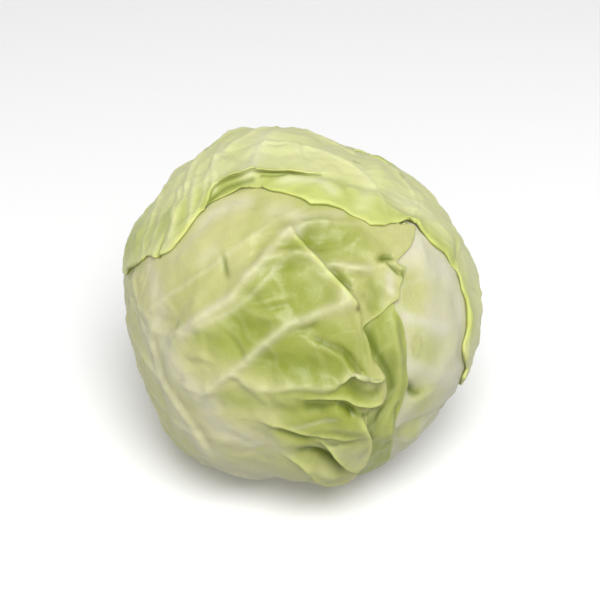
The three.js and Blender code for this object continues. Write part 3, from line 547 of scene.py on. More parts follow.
CAP_LEAF = dict(
    node="cap_leaf", finish="cap", grid=(320, 280), lift=(-0.1, 0.35), vein_height=0.7,
    midrib=[
        (174, LEAF_FOOT), (172, -50), (172, -20), (174, 10), (178, 35), (-178, 55), (-168, 68),
        (-140, 76), (-80, 79), (-48, 75), (-40.7, 69.2)],
    left=[
        (150, LEAF_FOOT), (138, -60), (118, -42), (98, -30), (83, -23), (75, -20), (69.8, -16.4),
        (65.5, -10.1), (66.7, -7.6), (61.5, -0.1), (60.6, 5.1), (64, 9), (66, 13.2), (67.6, 17),
        (67.5, 21.3), (69, 24), (69.5, 26.6), (69.2, 28.3), (68.3, 31.4), (67.7, 34.4), (64.8, 38.2),
        (63.8, 40.9), (63.8, 43), (62.6, 45.4), (63.9, 49.4), (54.2, 51.2), (49.6, 52.5), (45.2, 52.8),
        (42.7, 53.7), (38.3, 54.8), (36.6, 56.9), (34.2, 59), (32, 60.7), (29.4, 62.6), (25.2, 64.3),
        (20.1, 65.4), (13.1, 66.2), (8, 66.3), (4.6, 67.6), (-1.6, 69), (-8.6, 69.9), (-16, 70.2),
        (-24.9, 69.9), (-35.6, 69.9)],
    right=[
        (-160, LEAF_FOOT), (-150, -50), (-140, -25), (-124, -5), (-106, 6), (-96, 12), (-86.3, 16),
        (-84.6, 19), (-79.7, 23.4), (-76, 27.6), (-74.2, 30.2), (-71.8, 31.7), (-67.2, 33.3),
        (-66.3, 34.6), (-63.1, 36.7), (-61.4, 38.4), (-60.5, 40.4), (-60, 43), (-60, 46), (-60.5, 49.2),
        (-61.2, 51.9), (-61.1, 54.5), (-61.1, 56.7), (-60.7, 58.5), (-58.9, 60.6), (-55.2, 63.4),
        (-51.7, 66.4), (-45.7, 68.3)],
    ridges=[
        ([(174, LEAF_FOOT, 2), (172, -50, 3), (172, -20, 2), (174, 10, 2), (178, 35, 1.6),
          (-178, 55, 1.2), (-168, 68, 0.9), (-140, 76, 0.6), (-80, 79, 0.4)], 5, 0.7),
        ([(-67.6, 58.4, 0.4), (-73.4, 61.6, 0.6), (-91.3, 63.7, 0.6), (-120.9, 61.4, 0.4)], 1.8, 0.6),
        ([(-60, 47.9, 0.4), (-69.6, 52.5, 0.7), (-80, 55.8, 0.7), (-99.7, 57.3, 0.4)], 1.8, 0.6),
        ([(-63.7, 41, 0.4), (-73.6, 46.1, 0.8), (-87, 50, 0.6)], 2.0, 0.4),
        ([(-73.4, 32.8, 0.4), (-79.1, 37.9, 0.6), (-88.9, 41.9, 0.4)], 1.8, 0.3),
        ([(-56.6, 70.9, 0.5), (-73.7, 75.5, 0.9), (-115.5, 76.7, 0.7), (-147, 72, 0.4)], 3.4, 0.9),
        ([(60.4, 47.7, 0.5), (73.8, 48.5, 0.8), (93, 46.8, 0.4)], 2.0, 0.4),
        ([(23.9, 67.7, 0.3), (59.1, 67.9, 0.5), (88.2, 66.9, 0.4), (117.9, 61.1, 0.2)], 3.0, 0.4),
        ([(65.6, -10.6, 0.4), (62.7, 2.9, 0.7), (66.8, 11, 0.6), (70.1, 19.7, 0.3)], 2.0, 0.1),
    ],
    dents=[
        ([(-66.6, 34.1, 1.4), (-67.3, 36.1, 1.6), (-68.9, 38.7, 0.9), (-71.1, 41, 0.3)], 1.1, 0.9),
        ([(60.3, 48.9, 0.8), (71.7, 48.7, 0.9), (82.6, 48.4, 0.4)], 1.1, 0.4),
        ([(-114, 79.5, 0.2), (-117.2, 81.8, 0.5), (-135, 84, 0.2)], 0.9, 0.6),
        ([(43.7, 72.1, 0.2), (41.8, 69.4, 0.6), (39.6, 65.9, 0.3)], 2.0, 0.5),
        ([(69.9, 30.1, 0.5), (76.5, 30.3, 0.9), (79.5, 33.1, 0.4)], 2.6, 0.5),
        ([(75.1, 17.8, 0.2), (79.3, 14.1, 0.7), (81.8, 11.7, 0.3)], 0.9, 0.5),
        ([(-63, 60.2, 0.6), (-58.5, 64.5, 0.8), (-48.7, 69.7, 0.6)], 2.0, 0.3),
    ],
    tones=[
        ([(-56.8, 71.7), (-83.7, 76.2), (-131.2, 74), (-149.6, 70.5)], 4, -0.9),
        ([(-66.7, 60.9), (-85.9, 64), (-118.7, 62.5)], 1.8, -0.6),
        ([(-61.7, 49.4), (-74.9, 53.9), (-91, 56.4)], 2.0, -0.5),
        ([(-65.9, 42.9), (-77.6, 47.9), (-88.9, 51.8)], 2.0, -0.4),
        ([(-76.3, 35.3), (-85.8, 40.9)], 1.8, -0.4),
        ([(-18.2, 74.8), (0, 75.8), (20.6, 74.7), (28.5, 69.8)], 3, -0.7),
        ([(83.1, 70.1), (61, 64.7), (42, 61.4)], 4, -0.4),
        ([(180, 88.1), (113.1, 83.2), (133.1, 71.8)], 4, -0.4),
        ([(69.2, 56.6), (78.6, 50), (78, 45.5)], 6, -0.6),
        ([(74.7, 40.9), (73.1, 36.3)], 4, -0.3),
        ([(42.9, 72.8), (41, 68.6), (39.6, 65.9)], 2.2, 0.6),
        ([(69.5, 30.4), (77.3, 30.6), (81.6, 31.9)], 3.5, 0.6),
        ([(68.2, 17.3), (66.3, 7.9), (63.2, 0.5)], 3, 0.3),
        ([(-66.8, 53.9), (-63, 46.6), (-61.4, 42)], 3.5, 0.5),
        ([(-63.7, 57.5), (-65.2, 61), (-58.4, 65.3)], 2.5, 0.4),
        ([(-80.8, 24.1), (-79.3, 29.7), (-74.5, 34.7)], 4, 0.5),
        ([(-96.1, 22.9), (-101.5, 30.5), (-103, 41.6)], 3.5, 0.4),
        ([(-128.6, 49.4), (-130.9, 57.1)], 4, 0.45),
        ([(-94.3, 68), (-111.1, 70)], 4, 0.25),
        ([(33.8, 62.3), (40.9, 56.3), (53.5, 54.4)], 4, 0.4),
        ([(-30, 73), (-16, 73.5), (-4, 73), (8, 71)], 3.5, 0.5),
        ([(100, 72), (98.3, 71)], 0.9, 1.0),
        ([(101.3, 55.5), (99.8, 54.7)], 1.1, 1.0),
    ],
    darks=[
        ([(-85.4, 18.1), (-81.1, 22.3), (-77.7, 25.3)], 1.0, 0.6),
        ([(-66.4, 34.3), (-67.1, 35.8), (-68.3, 38.2)], 0.9, 0.55),
        ([(-60.6, 55.9), (-63.1, 59.1), (-63.1, 61.9), (-61.3, 64.7), (-55.6, 67.9),
          (-49.9, 71.1)], 1.5, 0.75),
        ([(-44.8, 73.8), (-25.7, 76.2), (-12.8, 79), (9, 78.4), (29.9, 77.8)], 0.9, 0.65),
        ([(100, 72), (98.3, 71)], 0.8, 0.6),
        ([(101.3, 55.5), (99.8, 54.7)], 1.0, 0.5),
    ],
    folds=[
        dict(run=10, fall=2.0, side=1, lean=4.4, shade=0.7, path=[
            (-61.1, 54.5, 0.3), (-61.9, 57.2, 1.4), (-64.8, 59.9, 2.4), (-65.8, 62.7, 3.2),
            (-63.5, 65.7, 3.8), (-59.3, 68.2, 4), (-54.4, 70.8, 4), (-50.4, 73.6, 4), (-38.7, 75.6, 3.7),
            (-27.2, 77.5, 3.5), (-14.8, 78.4, 3.4), (0, 78.7, 2.8), (14.8, 78.4, 1.8),
            (32.6, 78.2, 0.5)]),
    ],
    veins={
        1: [
            [(174, -5), (-168, 10), (-140, 12), (-115, 13), (-98, 14)],
            [(178, 30), (-150, 42), (-115, 42), (-95, 38), (-82, 31), (-74, 28)],
            [(-179, 45), (-130, 55), (-100, 54), (-85, 53), (-77, 50), (-70, 45), (-65, 40)],
            [(-172, 60), (-120, 66), (-92, 63), (-78, 60), (-66, 55), (-60, 50)],
        ],
        -1: [
            [(172, -20), (150, -12), (120, -14), (95, -16), (72, -12)],
            [(174, 15), (140, 25), (110, 20), (85, 10), (64, 3)],
            [(178, 40), (140, 48), (110, 42), (88, 33), (69, 27)],
            [(-175, 62), (150, 68), (110, 58), (85, 50), (65, 49)],
            [(-120, 78), (120, 82), (75, 68), (52, 56)],
        ],
    },
    green=([(-92, 24), (-72, 44), (-58, 60), (-46, 69), (-10, 71), (26, 66), (54, 54), (66, 34),
            (64, 12)], 12),
)

BACK_LEAF = dict(
    node="back_leaf", finish="cap", grid=(220, 220), lift=(-0.5, 0.15), vein_height=0.7, edge_share=0.0,
    midrib=[(-166, LEAF_FOOT), (-164, -50), (-163, -20), (-163, 10), (-166, 32), (-172, 48), (178, 57)],
    left=[(158, LEAF_FOOT), (136, -52), (119, -25), (111, 0), (109, 20), (114, 34), (128, 46), (152, 54)],
    right=[
        (-126, LEAF_FOOT), (-110, -50), (-105, -25), (-108, 0), (-114, 18), (-126, 34), (-146, 46),
        (-168, 54)],
    ridges=[
        ([(-166, LEAF_FOOT, 1.6), (-164, -50, 3), (-163, -20, 3), (-163, 10, 2.4), (-166, 32, 1.6),
          (-172, 48, 0.8)], 7, 0.8),
    ],
    green=([(112, 30), (150, 58), (-150, 54), (-104, 20)], 18),
)

LEAVES = [LOWER_LEAF, RIGHT_LEAF, UNDER_LEAF, FRONT_LEAF, CAP_LEAF, BACK_LEAF]

PLAIN_VEIN_HEIGHT = 0.35

# What a leaf has where its own facts don't say.
PLAIN_LEAF = dict(
    ridges=[], dents=[], folds=[], tones=[], darks=[], veins={},
    vein_height=PLAIN_VEIN_HEIGHT, arch=0.0, edge_share=1.0,
)


# Small brown marks: azimuth, elevation, radius in millimetres and strength.
SPECKS = {
    "front_leaf": [
        (18.4, 32.3, 1.3, 1.0), (17.6, 35.4, 1.1, 0.4), (22.6, 35.6, 1.2, 0.3), (15.3, -20.6, 1.6, 0.35),
        (-79, 10.5, 1.3, 0.5), (-54, 5.5, 1.4, 0.4),
    ],
    "under_leaf": [(29.5, -17, 1.6, 0.4)],
}

# Tan streaks: a path of (azimuth, elevation), its half width in millimetres and strength.
STREAKS = {
    "front_leaf": [
        # tan along the groove beside the midrib ridge
        ([(-53.1, 11.4), (-49.7, 7.2), (-45.6, 2.5), (-42, -1.2), (-37.3, -5), (-33, -11.1),
          (-28.8, -17.9)], 1.6, 0.2),
    ],
    "right_leaf": [
        ([(40.6, 15.1), (40.5, 17.7), (39.4, 19.1), (37.9, 18.7), (36.9, 16.5), (36.9, 14.0),
          (38.0, 12.6), (39.7, 13.0), (40.6, 15.1)], 0.6, 0.22),
    ],
}


# ---- a leaf's own map ----
MARGIN_POINTS = 241      # points along each of a leaf's curves
FINE_POINTS = 1200
SIDEWAYS = (0.31, 0.17, 0.94)    # a direction that no leaf's middle lies along


def by_length(points):
    """A curve through the points, with its own points at equal lengths."""
    fine = unit(spline(directions(points), FINE_POINTS))
    length = np.concatenate([[0], np.cumsum(np.linalg.norm(np.diff(fine, axis=0), axis=1))])
    wanted = np.linspace(0, length[-1], MARGIN_POINTS)
    return unit(np.stack([np.interp(wanted, length, fine[:, k]) for k in range(3)], axis=1))


def along_curve(curve, share):
    spots = np.clip(share, 0, 1) * (len(curve) - 1)
    places = [np.interp(spots, np.arange(len(curve)), curve[:, k]) for k in range(3)]
    return unit(np.stack(places, axis=1))


class Leaf:
    """A wrapper leaf's own map: share 0..1 from stem to tip, side -1..1 from left to right margin."""

    def __init__(self, facts):
        self.facts = {**PLAIN_LEAF, **facts}
        self.node = facts["node"]
        self.curves = [by_length(facts[key]) for key in ("left", "midrib", "right")]
        left, midrib, right = self.curves
        loop = np.concatenate([right, left[::-1], right[:1]])[::2]
        self.outline = Path.through(unit(loop), np.zeros(len(loop)))
        self.middle = unit(loop.sum(axis=0) + 2 * midrib.sum(axis=0))
        self.across = unit(np.cross(SIDEWAYS, self.middle))
        self.flat = self.flatten(self.outline.at)
        self.folds = []
        for fold in self.facts["folds"]:
            peak = max(point[2] for point in fold["path"])
            self.folds.append((fold, Path(fold["path"], FOLD_STEP), peak))

    def place(self, share, side):
        """Unit vectors at the given shares from the stem and sides from the midrib."""
        left, rib, right = (along_curve(curve, share) for curve in self.curves)
        margin = np.where((side < 0)[:, None], left, right)
        angle = np.arccos(np.clip((rib * margin).sum(axis=1), -1, 1))[:, None]
        part = np.abs(side)[:, None]
        found = unit(rib * np.sin((1 - part) * angle) + margin * (np.sin(part * angle) + 1e-9))
        arch = math.radians(self.facts["arch"]) * 4 * part * (1 - part)
        onward = along_curve(np.gradient(self.curves[1], axis=0), share)
        return unit(found + onward * arch * ((side < 0) * (1 - share))[:, None])

    def flatten(self, places):
        """A flat map of the head, with the leaf's middle at 0, 0."""
        scale = 1 / (1 + places @ self.middle)
        up = np.cross(self.middle, self.across)
        return np.stack([places @ self.across * scale, places @ up * scale], axis=1)

    def holds(self, places):
        x, y = self.flatten(places).T
        inside = np.zeros(len(places), bool)
        for (x1, y1), (x2, y2) in zip(self.flat[:-1], self.flat[1:]):
            if y1 == y2:
                continue
            crosses = (y1 > y) != (y2 > y)
            inside ^= crosses & (x < x1 + (y - y1) * (x2 - x1) / (y2 - y1))
        return inside

    def spread(self, places):
        """1 under the leaf and close round it, easing to 0 beyond its drape."""
        distance = nearest(places, self.outline, DRAPE_END)[0]
        return np.where(self.holds(places), 1.0, 1 - smooth(DRAPE_FULL, DRAPE_END, distance))


# ---- veins ----
SIDE_VEINS = 9           # on each hand of a plain leaf
FIRST_SIDE_VEIN = 0.10   # share of the midrib below the first one
SIDE_VEIN_GAP = 0.086
SIDE_VEIN_RISE = 0.20    # share of the leaf's length that a side vein climbs
SIDE_VEIN_WIDTH = 1.7
SIDE_VEIN_PALE = 0.8
SIDE_VEIN_FOOT = 4.0     # half width of the soft rise that it stands on
LINK_STEP = 9.0          # spacing of the fine links between side veins, in mm
LINK_HEIGHT = 0.22
LINK_WIDTH = 1.1
LINK_PALE = 0.4


def side_vein(leaf, start, side, draw):
    """A side vein from the midrib to near the margin, curving up towards the tip."""
    out = np.linspace(0.02, draw.uniform(0.86, 0.97), 14)
    bend = draw.uniform(0.8, 1.5)
    sway = draw.normal(0, 0.008, 4)
    wave = sum(s * np.sin((k + 1) * math.pi * out) for k, s in enumerate(sway))
    share = start + SIDE_VEIN_RISE * (1 - 0.5 * start) * out ** bend + wave
    return leaf.place(np.clip(share, 0, 0.995), side * out)


def link(a, b, share_a, share_b, draw):
    """A fine vein that crosses from one side vein to the next."""
    start, end = (
        np.array([np.interp(share, np.linspace(0, 1, len(way)), way[:, k]) for k in range(3)])
        for way, share in ((a, share_a), (b, share_b)))
    steps = np.linspace(0, 1, 7)[:, None]
    way = start * (1 - steps) + end * steps
    bow = np.cross(unit(start), end - start)
    way = way + bow * np.sin(math.pi * steps) * draw.uniform(-0.16, 0.16)
    way = way + bow * np.sin(2 * math.pi * steps) * draw.uniform(-0.1, 0.1)
    return unit(way)


def links_between(a, b, draw):
    count = max(2, int(max(length_of(a), length_of(b)) / LINK_STEP))
    for k in range(count):
        share_a = (k + 0.7 + draw.uniform(-0.25, 0.25)) / count
        share_b = max(share_a + draw.uniform(-0.05, 0.12), 0.02)
        way = link(a, b, min(share_a, 0.98), min(share_b, 0.98), draw)
        yield Path.through(way, np.full(len(way), draw.uniform(0.5, 1.0)))


def veins_of(leaf, seed):
    """The paths of the side veins, each with its height, and of the links between them."""
    draw = np.random.default_rng(seed)
    given = leaf.facts["veins"]
    side_veins = []
    links = []
    for side in (-1, 1):
        ways = [Path(points, 4.0).at for points in given.get(side, [])]
        height = leaf.facts["vein_height"] if ways or not given else PLAIN_VEIN_HEIGHT
        if not ways:
            for i in range(SIDE_VEINS):
                step = i + 0.3 * (side > 0) + draw.uniform(-0.2, 0.2)
                ways.append(side_vein(leaf, FIRST_SIDE_VEIN + step * SIDE_VEIN_GAP, side, draw))
        for way in ways:
            side_veins.append((Path.through(way, np.linspace(1, 0.25, len(way))), height))
        for a, b in zip(ways[:-1], ways[1:]):
            links.extend(links_between(a, b, draw))
    return side_veins, links


# ---- relief and colour masks of one leaf ----
FOLD_STEP = 2.0          # spacing of the points of a fold's path, in mm
FULL_MARK = 1.2          # relief of this height or depth is marked in full colour
CLOSE = 0.5              # nearer to a path than this, its side vector is used
CROWD = 0.5              # how strongly the rows of a mesh draw in to a fold
CROWD_REACH = 9.0
FOLD_REACH = 2.5         # a fold is felt this many of its runs away
FOLD_SWELL = 1.15        # how round its long side is
CREST_WIDTH = 1.2
MARGIN_REACH = 24
LIFT_REACH = 6
EDGE_WIDTH = 1.1         # of the margin's painted lighting
RIB_REACH = 60
RIB_PALE = 24            # how far the paleness of the midrib spreads
MARGIN_WAVES = ((7, 0.5), (16, 0.35), (31, 0.25))    # waves round the margin, and their height
RIPPLES = ((0.42, 30), (0.22, 13), (0.08, 6))        # height and size of the soft unevenness


def toward(places, path):
    """Unit vectors along the surface, from each place straight to the path."""
    step = np.zeros_like(places)
    best = np.full(len(places), FAR)
    for i, span, share, across in path.spans(places):
        apart = np.linalg.norm(across, axis=1)
        closer = apart < best
        best = np.where(closer, apart, best)
        aside = unit(np.cross(span, path.at[i]))
        hand = np.where(across @ aside < 0, -1.0, 1.0)
        beside = ((share > 0) & (share < 1)) | (apart * HEAD_RADIUS < CLOSE)
        way = np.where(beside[:, None], -hand[:, None] * aside, -across)
        step = np.where(closer[:, None], way, step)
    step -= places * (step * places).sum(axis=1)[:, None]
    return step / np.maximum(np.linalg.norm(step, axis=1), 1e-9)[:, None]


def dents_of(leaf, places):
    """Depth of a leaf's dents at the places, and the painted shade that greens them."""
    depth = np.zeros(len(places))
    green = np.zeros(len(places))
    for points, width, tone in leaf.facts["dents"]:
        distance, value, _, _ = nearest(places, Path(points), 3 * width)
        depth += value * bell(distance, width)
        mark = tone * np.clip(value / FULL_MARK, 0, 1) * bell(distance, 1.25 * width)
        green = np.maximum(green, mark)
    return depth, green


def tones_of(leaf, places):
    """How white and how green its tones (own colour, with some painted light and shade) and how dark its
    painted deep shade make the leaf at the places.
    """
    white, green, dark = (np.zeros(len(places)) for _ in range(3))
    for points, width, tone in leaf.facts["tones"]:
        mark = abs(tone) * bell(nearest(places, Path(points), 3 * width)[0], width)
        if tone < 0:
            white = blend(white, mark)
        else:
            green = blend(green, mark)
    # painted deep shade in crevices and under margins
    for points, width, tone in leaf.facts["darks"]:
        dark = blend(dark, tone * bell(nearest(places, Path(points), 3 * width)[0], width))
    return white, green, dark


def specks_of(leaf, places):
    speck = np.zeros(len(places))
    for points, width, strength in STREAKS.get(leaf.node, []):
        distance = nearest(places, Path(points), 4 * width)[0]
        speck = np.maximum(speck, strength * bell(distance, width))
    for azimuth, elevation, radius, strength in SPECKS.get(leaf.node, []):
        distance = np.linalg.norm(places - direction(azimuth, elevation), axis=1) * HEAD_RADIUS
        speck = np.maximum(speck, strength * bell(distance, radius))
    return speck


class Shape:
    """Heights, sideways leans and colour masks over the places of one leaf."""

    def __init__(self, leaf, places):
        self.leaf = leaf
        self.places = places
        count = len(places)
        self.height = np.zeros(count)
        self.lean = np.zeros((count, 3))
        self.masks = {name: np.zeros(count) for name in ("vein", "fine", "crest_highlight", "swell_light", "crevice_shade")}

    def mark(self, name, mask):
        self.masks[name] = np.maximum(self.masks[name], mask)

    def add_ridges(self):
        for points, width, pale in self.leaf.facts["ridges"]:
            distance, value, _, _ = nearest(self.places, Path(points), 3 * width)
            self.height += value * bell(distance, width)
            core = bell(distance, 0.45 * width) * np.clip(value / FULL_MARK, 0, 1)
            self.mark("vein", pale * core)
            # partly the ridge's paler rise, partly painted light on the raised ridge
            self.mark("swell_light", pale * bell(distance, 1.3 * width) * np.clip(value, 0, 1))

    def add_dents(self):
        # the dents' colour mask is painted shade in their hollows
        depth, self.masks["dent_shade"] = dents_of(self.leaf, self.places)
        self.height -= depth

    def add_folds(self):
        for fold, path, peak in self.leaf.folds:
            run, fall, lean = fold["run"], fold["fall"], fold["lean"]
            reach = FOLD_REACH * run
            distance, value, _, hand = nearest(self.places, path, reach)
            part = value / peak
            place = distance * hand * fold["side"] + lean * part
            behind = np.maximum(-place, 0)
            falling = 1 - smooth(0, fall, place)
            profile = np.where(place < 0, np.exp(-(behind / run) ** FOLD_SWELL), falling)
            self.height += value * profile
            carried = np.where(place < 0, bell(behind, 0.8 * run), falling)
            way = toward(self.places, path) * -(hand * fold["side"])[:, None]
            near = (distance < reach)[:, None]
            self.lean += np.where(near, way * (lean * part * carried)[:, None], 0)
            # painted highlight on the fold's lip
            self.mark("crest_highlight", part * bell(place + 0.3, CREST_WIDTH))
            # painted shade at the fold's foot
            self.mark("crevice_shade", fold["shade"] * part * bell(place - fall, 0.8 * fall))

    def add_veins(self, seed):
        side_veins, links = veins_of(self.leaf, seed)
        for path, height in side_veins:
            distance, value, _, _ = nearest(self.places, path, 4 * SIDE_VEIN_WIDTH)
            core = bell(distance, SIDE_VEIN_WIDTH * (0.5 + 0.5 * value))
            self.height += height * value * (core + 0.7 * bell(distance, SIDE_VEIN_FOOT))
            self.mark("vein", SIDE_VEIN_PALE * core * np.clip(value * 1.4, 0, 1))
        for path in links:
            distance, value, _, _ = nearest(self.places, path, 3 * LINK_WIDTH)
            core = bell(distance, LINK_WIDTH)
            self.height += LINK_HEIGHT * value * core
            self.mark("fine", LINK_PALE * value * core)

    def add_margin(self, seed):
        """Lift the free margin, with waves along it, and thin it at the very edge."""
        draw = np.random.default_rng(seed)
        distance, _, along, _ = nearest(self.places, self.leaf.outline, MARGIN_REACH)
        wave = np.zeros(len(self.places))
        for waves, size in MARGIN_WAVES:
            start = draw.uniform(0, 2 * math.pi)
            uneven = waves * along + 0.6 * np.sin(2 * math.pi * 3 * along)
            wave += size * np.sin(2 * math.pi * uneven + start)
        lift, sway = self.leaf.facts["lift"]
        self.height += (lift + sway * wave) * bell(distance, LIFT_REACH)
        self.height -= 0.3 * bell(distance, 0.8)
        # painted lighting along the margin: lighter on most finishes, darker on the pale one
        self.masks["edge"] = bell(distance, EDGE_WIDTH) * self.leaf.facts["edge_share"]
        self.rim = bell(distance, RIM_REACH)

    def add_ripples(self, seed):
        for step, (height, size) in enumerate(RIPPLES):
            self.height += height * Ripple(seed + step, size)(self.places)

    def add_colours(self, share):
        """Masks for the leaf's paler foot and midrib, its green middle, its tones, its painted deep shade
        and its specks.
        """
        leaf = self.leaf
        rib = leaf.curves[1][::6]
        from_rib = nearest(self.places, Path.through(rib, np.ones(len(rib))), RIB_REACH)[0]
        foot = 1 - smooth(0.0, 0.5, share)
        core, reach = leaf.facts["green"]
        from_core = nearest(self.places, Path(core), 3 * reach)[0]
        white, green, dark = tones_of(leaf, self.places)
        pale = bell(from_rib, RIB_PALE) * (0.3 + 0.7 * foot) + 0.7 * foot ** 2
        self.masks.update(
            white=white, green=green, dark=dark, speck=specks_of(leaf, self.places),
            pale=np.clip(pale, 0, 1), core=bell(from_core, reach))


def draw_in(places, leaf):
    """Draw the places of a mesh in towards the folds, where it has to turn sharply."""
    for fold, path, peak in leaf.folds:
        distance, value, _, hand = nearest(places, path, 3 * CROWD_REACH)
        offset = distance * hand * fold["side"] + fold["lean"] * value / peak
        pull = CROWD * (value / peak) * offset * bell(offset, CROWD_REACH)
        way = toward(places, path) * (hand * fold["side"])[:, None]
        near = distance < 3 * CROWD_REACH
        places = unit(places + np.where(near[:, None], way * (pull / HEAD_RADIUS)[:, None], 0))
    return places


# ---- mesh helpers ----
def deselect():
    bpy.ops.object.select_all(action="DESELECT")


def points_of(piece):
    points = np.empty(len(piece.data.vertices) * 3)
    piece.data.vertices.foreach_get("co", points)
    return points.reshape(-1, 3)


def set_points(piece, points):
    piece.data.vertices.foreach_set("co", np.asarray(points, float).ravel())
    piece.data.update()


def apply(piece, kind, **settings):
    bpy.context.view_layer.objects.active = piece
    piece.select_set(True)
    modifier = piece.modifiers.new(kind.title(), kind)
    for key, value in settings.items():
        setattr(modifier, key, value)
    bpy.ops.object.modifier_apply(modifier=modifier.name)
    deselect()


def relax(piece, weights):
    """Even out the rows of a mesh where it turns over a fold."""
    group = piece.vertex_groups.new(name="fold")
    for step in range(1, 5):
        some = np.flatnonzero((weights > (step - 0.5) / 4) & (weights <= (step + 0.5) / 4))
        group.add(some.tolist(), step / 4, "REPLACE")
    apply(piece, "SMOOTH", factor=0.5, iterations=5, vertex_group="fold")


def to_frame(places, radius, lean=0.0):
    return HEAD_MIDDLE + (places * radius[:, None] + lean) * MM


def finish_piece(piece, material, node, slot):
    piece.data.polygons.foreach_set("use_smooth", np.ones(len(piece.data.polygons), bool))
    piece.data.materials.append(material)
    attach(piece, BODY)
    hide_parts(node)


# ---- the pieces ----
KEPT_FACES = 0.52        # share of a blade's faces kept, with the fewest on its inner side
ROUNDED = 0.35           # how much closer the columns of a blade lie near its margins
VEIN_SEED = 100
MARGIN_SEED = 200
RIPPLE_SEED = 300


def make_leaf(index, material, slot):
    leaf = LEAF_MAPS[index]
    rows, columns = leaf.facts["grid"]
    deselect()
    bpy.ops.mesh.primitive_grid_add(x_subdivisions=columns, y_subdivisions=rows, size=2)
    piece = bpy.context.object
    piece.name = leaf.node + "_blade"
    flat = points_of(piece)
    side = np.sin(flat[:, 0] * math.pi / 2) * ROUNDED + flat[:, 0] * (1 - ROUNDED)
    share = (flat[:, 1] + 1) / 2
    places = draw_in(leaf.place(share, side), leaf)
    shape = Shape(leaf, places)
    shape.add_ridges()
    shape.add_dents()
    shape.add_folds()
    shape.add_veins(VEIN_SEED + index)
    shape.add_margin(MARGIN_SEED + index)
    shape.add_ripples(RIPPLE_SEED + 10 * index)
    shape.add_colours(share)
    lower = [other.spread(places) for other in LEAF_MAPS[:index]]
    upper = [other.spread(places) for other in LEAF_MAPS[index + 1:]]
    free = 1 - np.max([np.zeros(len(places)), *upper], axis=0)
    radius = bed_radius(places) + LAYER * (sum(lower, np.zeros(len(places))) + 1) + shape.height * free
    for other, spread in zip(LEAF_MAPS[index + 1:], upper):
        radius -= dents_of(other, places)[0] * spread
    set_points(piece, to_frame(places, radius, shape.lean * free[:, None]))
    relax(piece, np.maximum(shape.masks["crest_highlight"], shape.masks["crevice_shade"]))
    for name, mask in shape.masks.items():
        attribute = piece.data.attributes.new(name, "FLOAT", "POINT")
        attribute.data.foreach_set("value", np.asarray(mask, np.float32))
    piece.vertex_groups.new(name="inner")
    apply(piece, "SOLIDIFY", thickness=BLADE * MM, offset=-1.0, use_even_offset=False,
          shell_vertex_group="inner")
    points = points_of(piece)
    relief = (shape.height + dents_of(leaf, places)[0]) * free
    drop = np.clip(LAYER - BLADE - RIM_AIR + relief, 0, RIM_DROP) * shape.rim * free
    points[len(places):] -= places * (drop * MM)[:, None]
    set_points(piece, points)
    apply(piece, "DECIMATE", ratio=KEPT_FACES, vertex_group="inner")
    finish_piece(piece, material, leaf.node, slot)


def make_heart(material):
    """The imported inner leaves, one ball close under the first wrapper leaf."""
    deselect()
    bpy.ops.mesh.primitive_uv_sphere_add(segments=96, ring_count=60, radius=1.0)
    piece = bpy.context.object
    piece.name = "packed_heart"
    places = unit(points_of(piece))
    set_points(piece, to_frame(places, bed_radius(places) - HEART_AIR))
    finish_piece(piece, material, "heart", "heart_leaf")


def dress_stem(material):
    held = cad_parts["stem"]
    for holder in held if isinstance(held, list) else [held]:
        holder.data.materials.clear()
        holder.data.materials.append(material)


# ---- shader expressions ----
class Value:
    """A number or colour that varies over a surface, so that shader maths reads as plain expressions."""

    def __init__(self, nodes, socket):
        self.nodes = nodes
        self.socket = socket

    def _math(self, operation, *terms):
        return self.nodes.node("ShaderNodeMath", {"operation": operation}, list(terms))

    def __add__(self, other):
        return self._math("ADD", self, other)

    def __radd__(self, other):
        return self._math("ADD", other, self)

    def __sub__(self, other):
        return self._math("SUBTRACT", self, other)

    def __rsub__(self, other):
        return self._math("SUBTRACT", other, self)

    def __mul__(self, other):
        return self._math("MULTIPLY", self, other)

    def __rmul__(self, other):
        return self._math("MULTIPLY", other, self)

    def __gt__(self, other):
        return self._math("GREATER_THAN", self, other)

    def at_least(self, other):
        return self._math("MAXIMUM", self, other)

    def step(self, low, high):
        """0 below low, 1 above high, smooth between."""
        return self.nodes.node(
            "ShaderNodeMapRange", {"interpolation_type": "SMOOTHSTEP"},
            {"Value": self, "From Min": low, "From Max": high})


class Nodes:
    """A node tree, with one method that makes every node in it."""

    def __init__(self, tree):
        self.tree = tree

    def node(self, kind, settings, inputs, output=0):
        node = self.tree.nodes.new(kind)
        for key, value in settings.items():
            setattr(node, key, value)
        self.fill(node, dict(enumerate(inputs)) if isinstance(inputs, list) else inputs)
        return Value(self, node.outputs[output])

    def fill(self, node, inputs):
        for key, value in inputs.items():
            if isinstance(value, Value):
                self.tree.links.new(value.socket, node.inputs[key])
            else:
                node.inputs[key].default_value = value


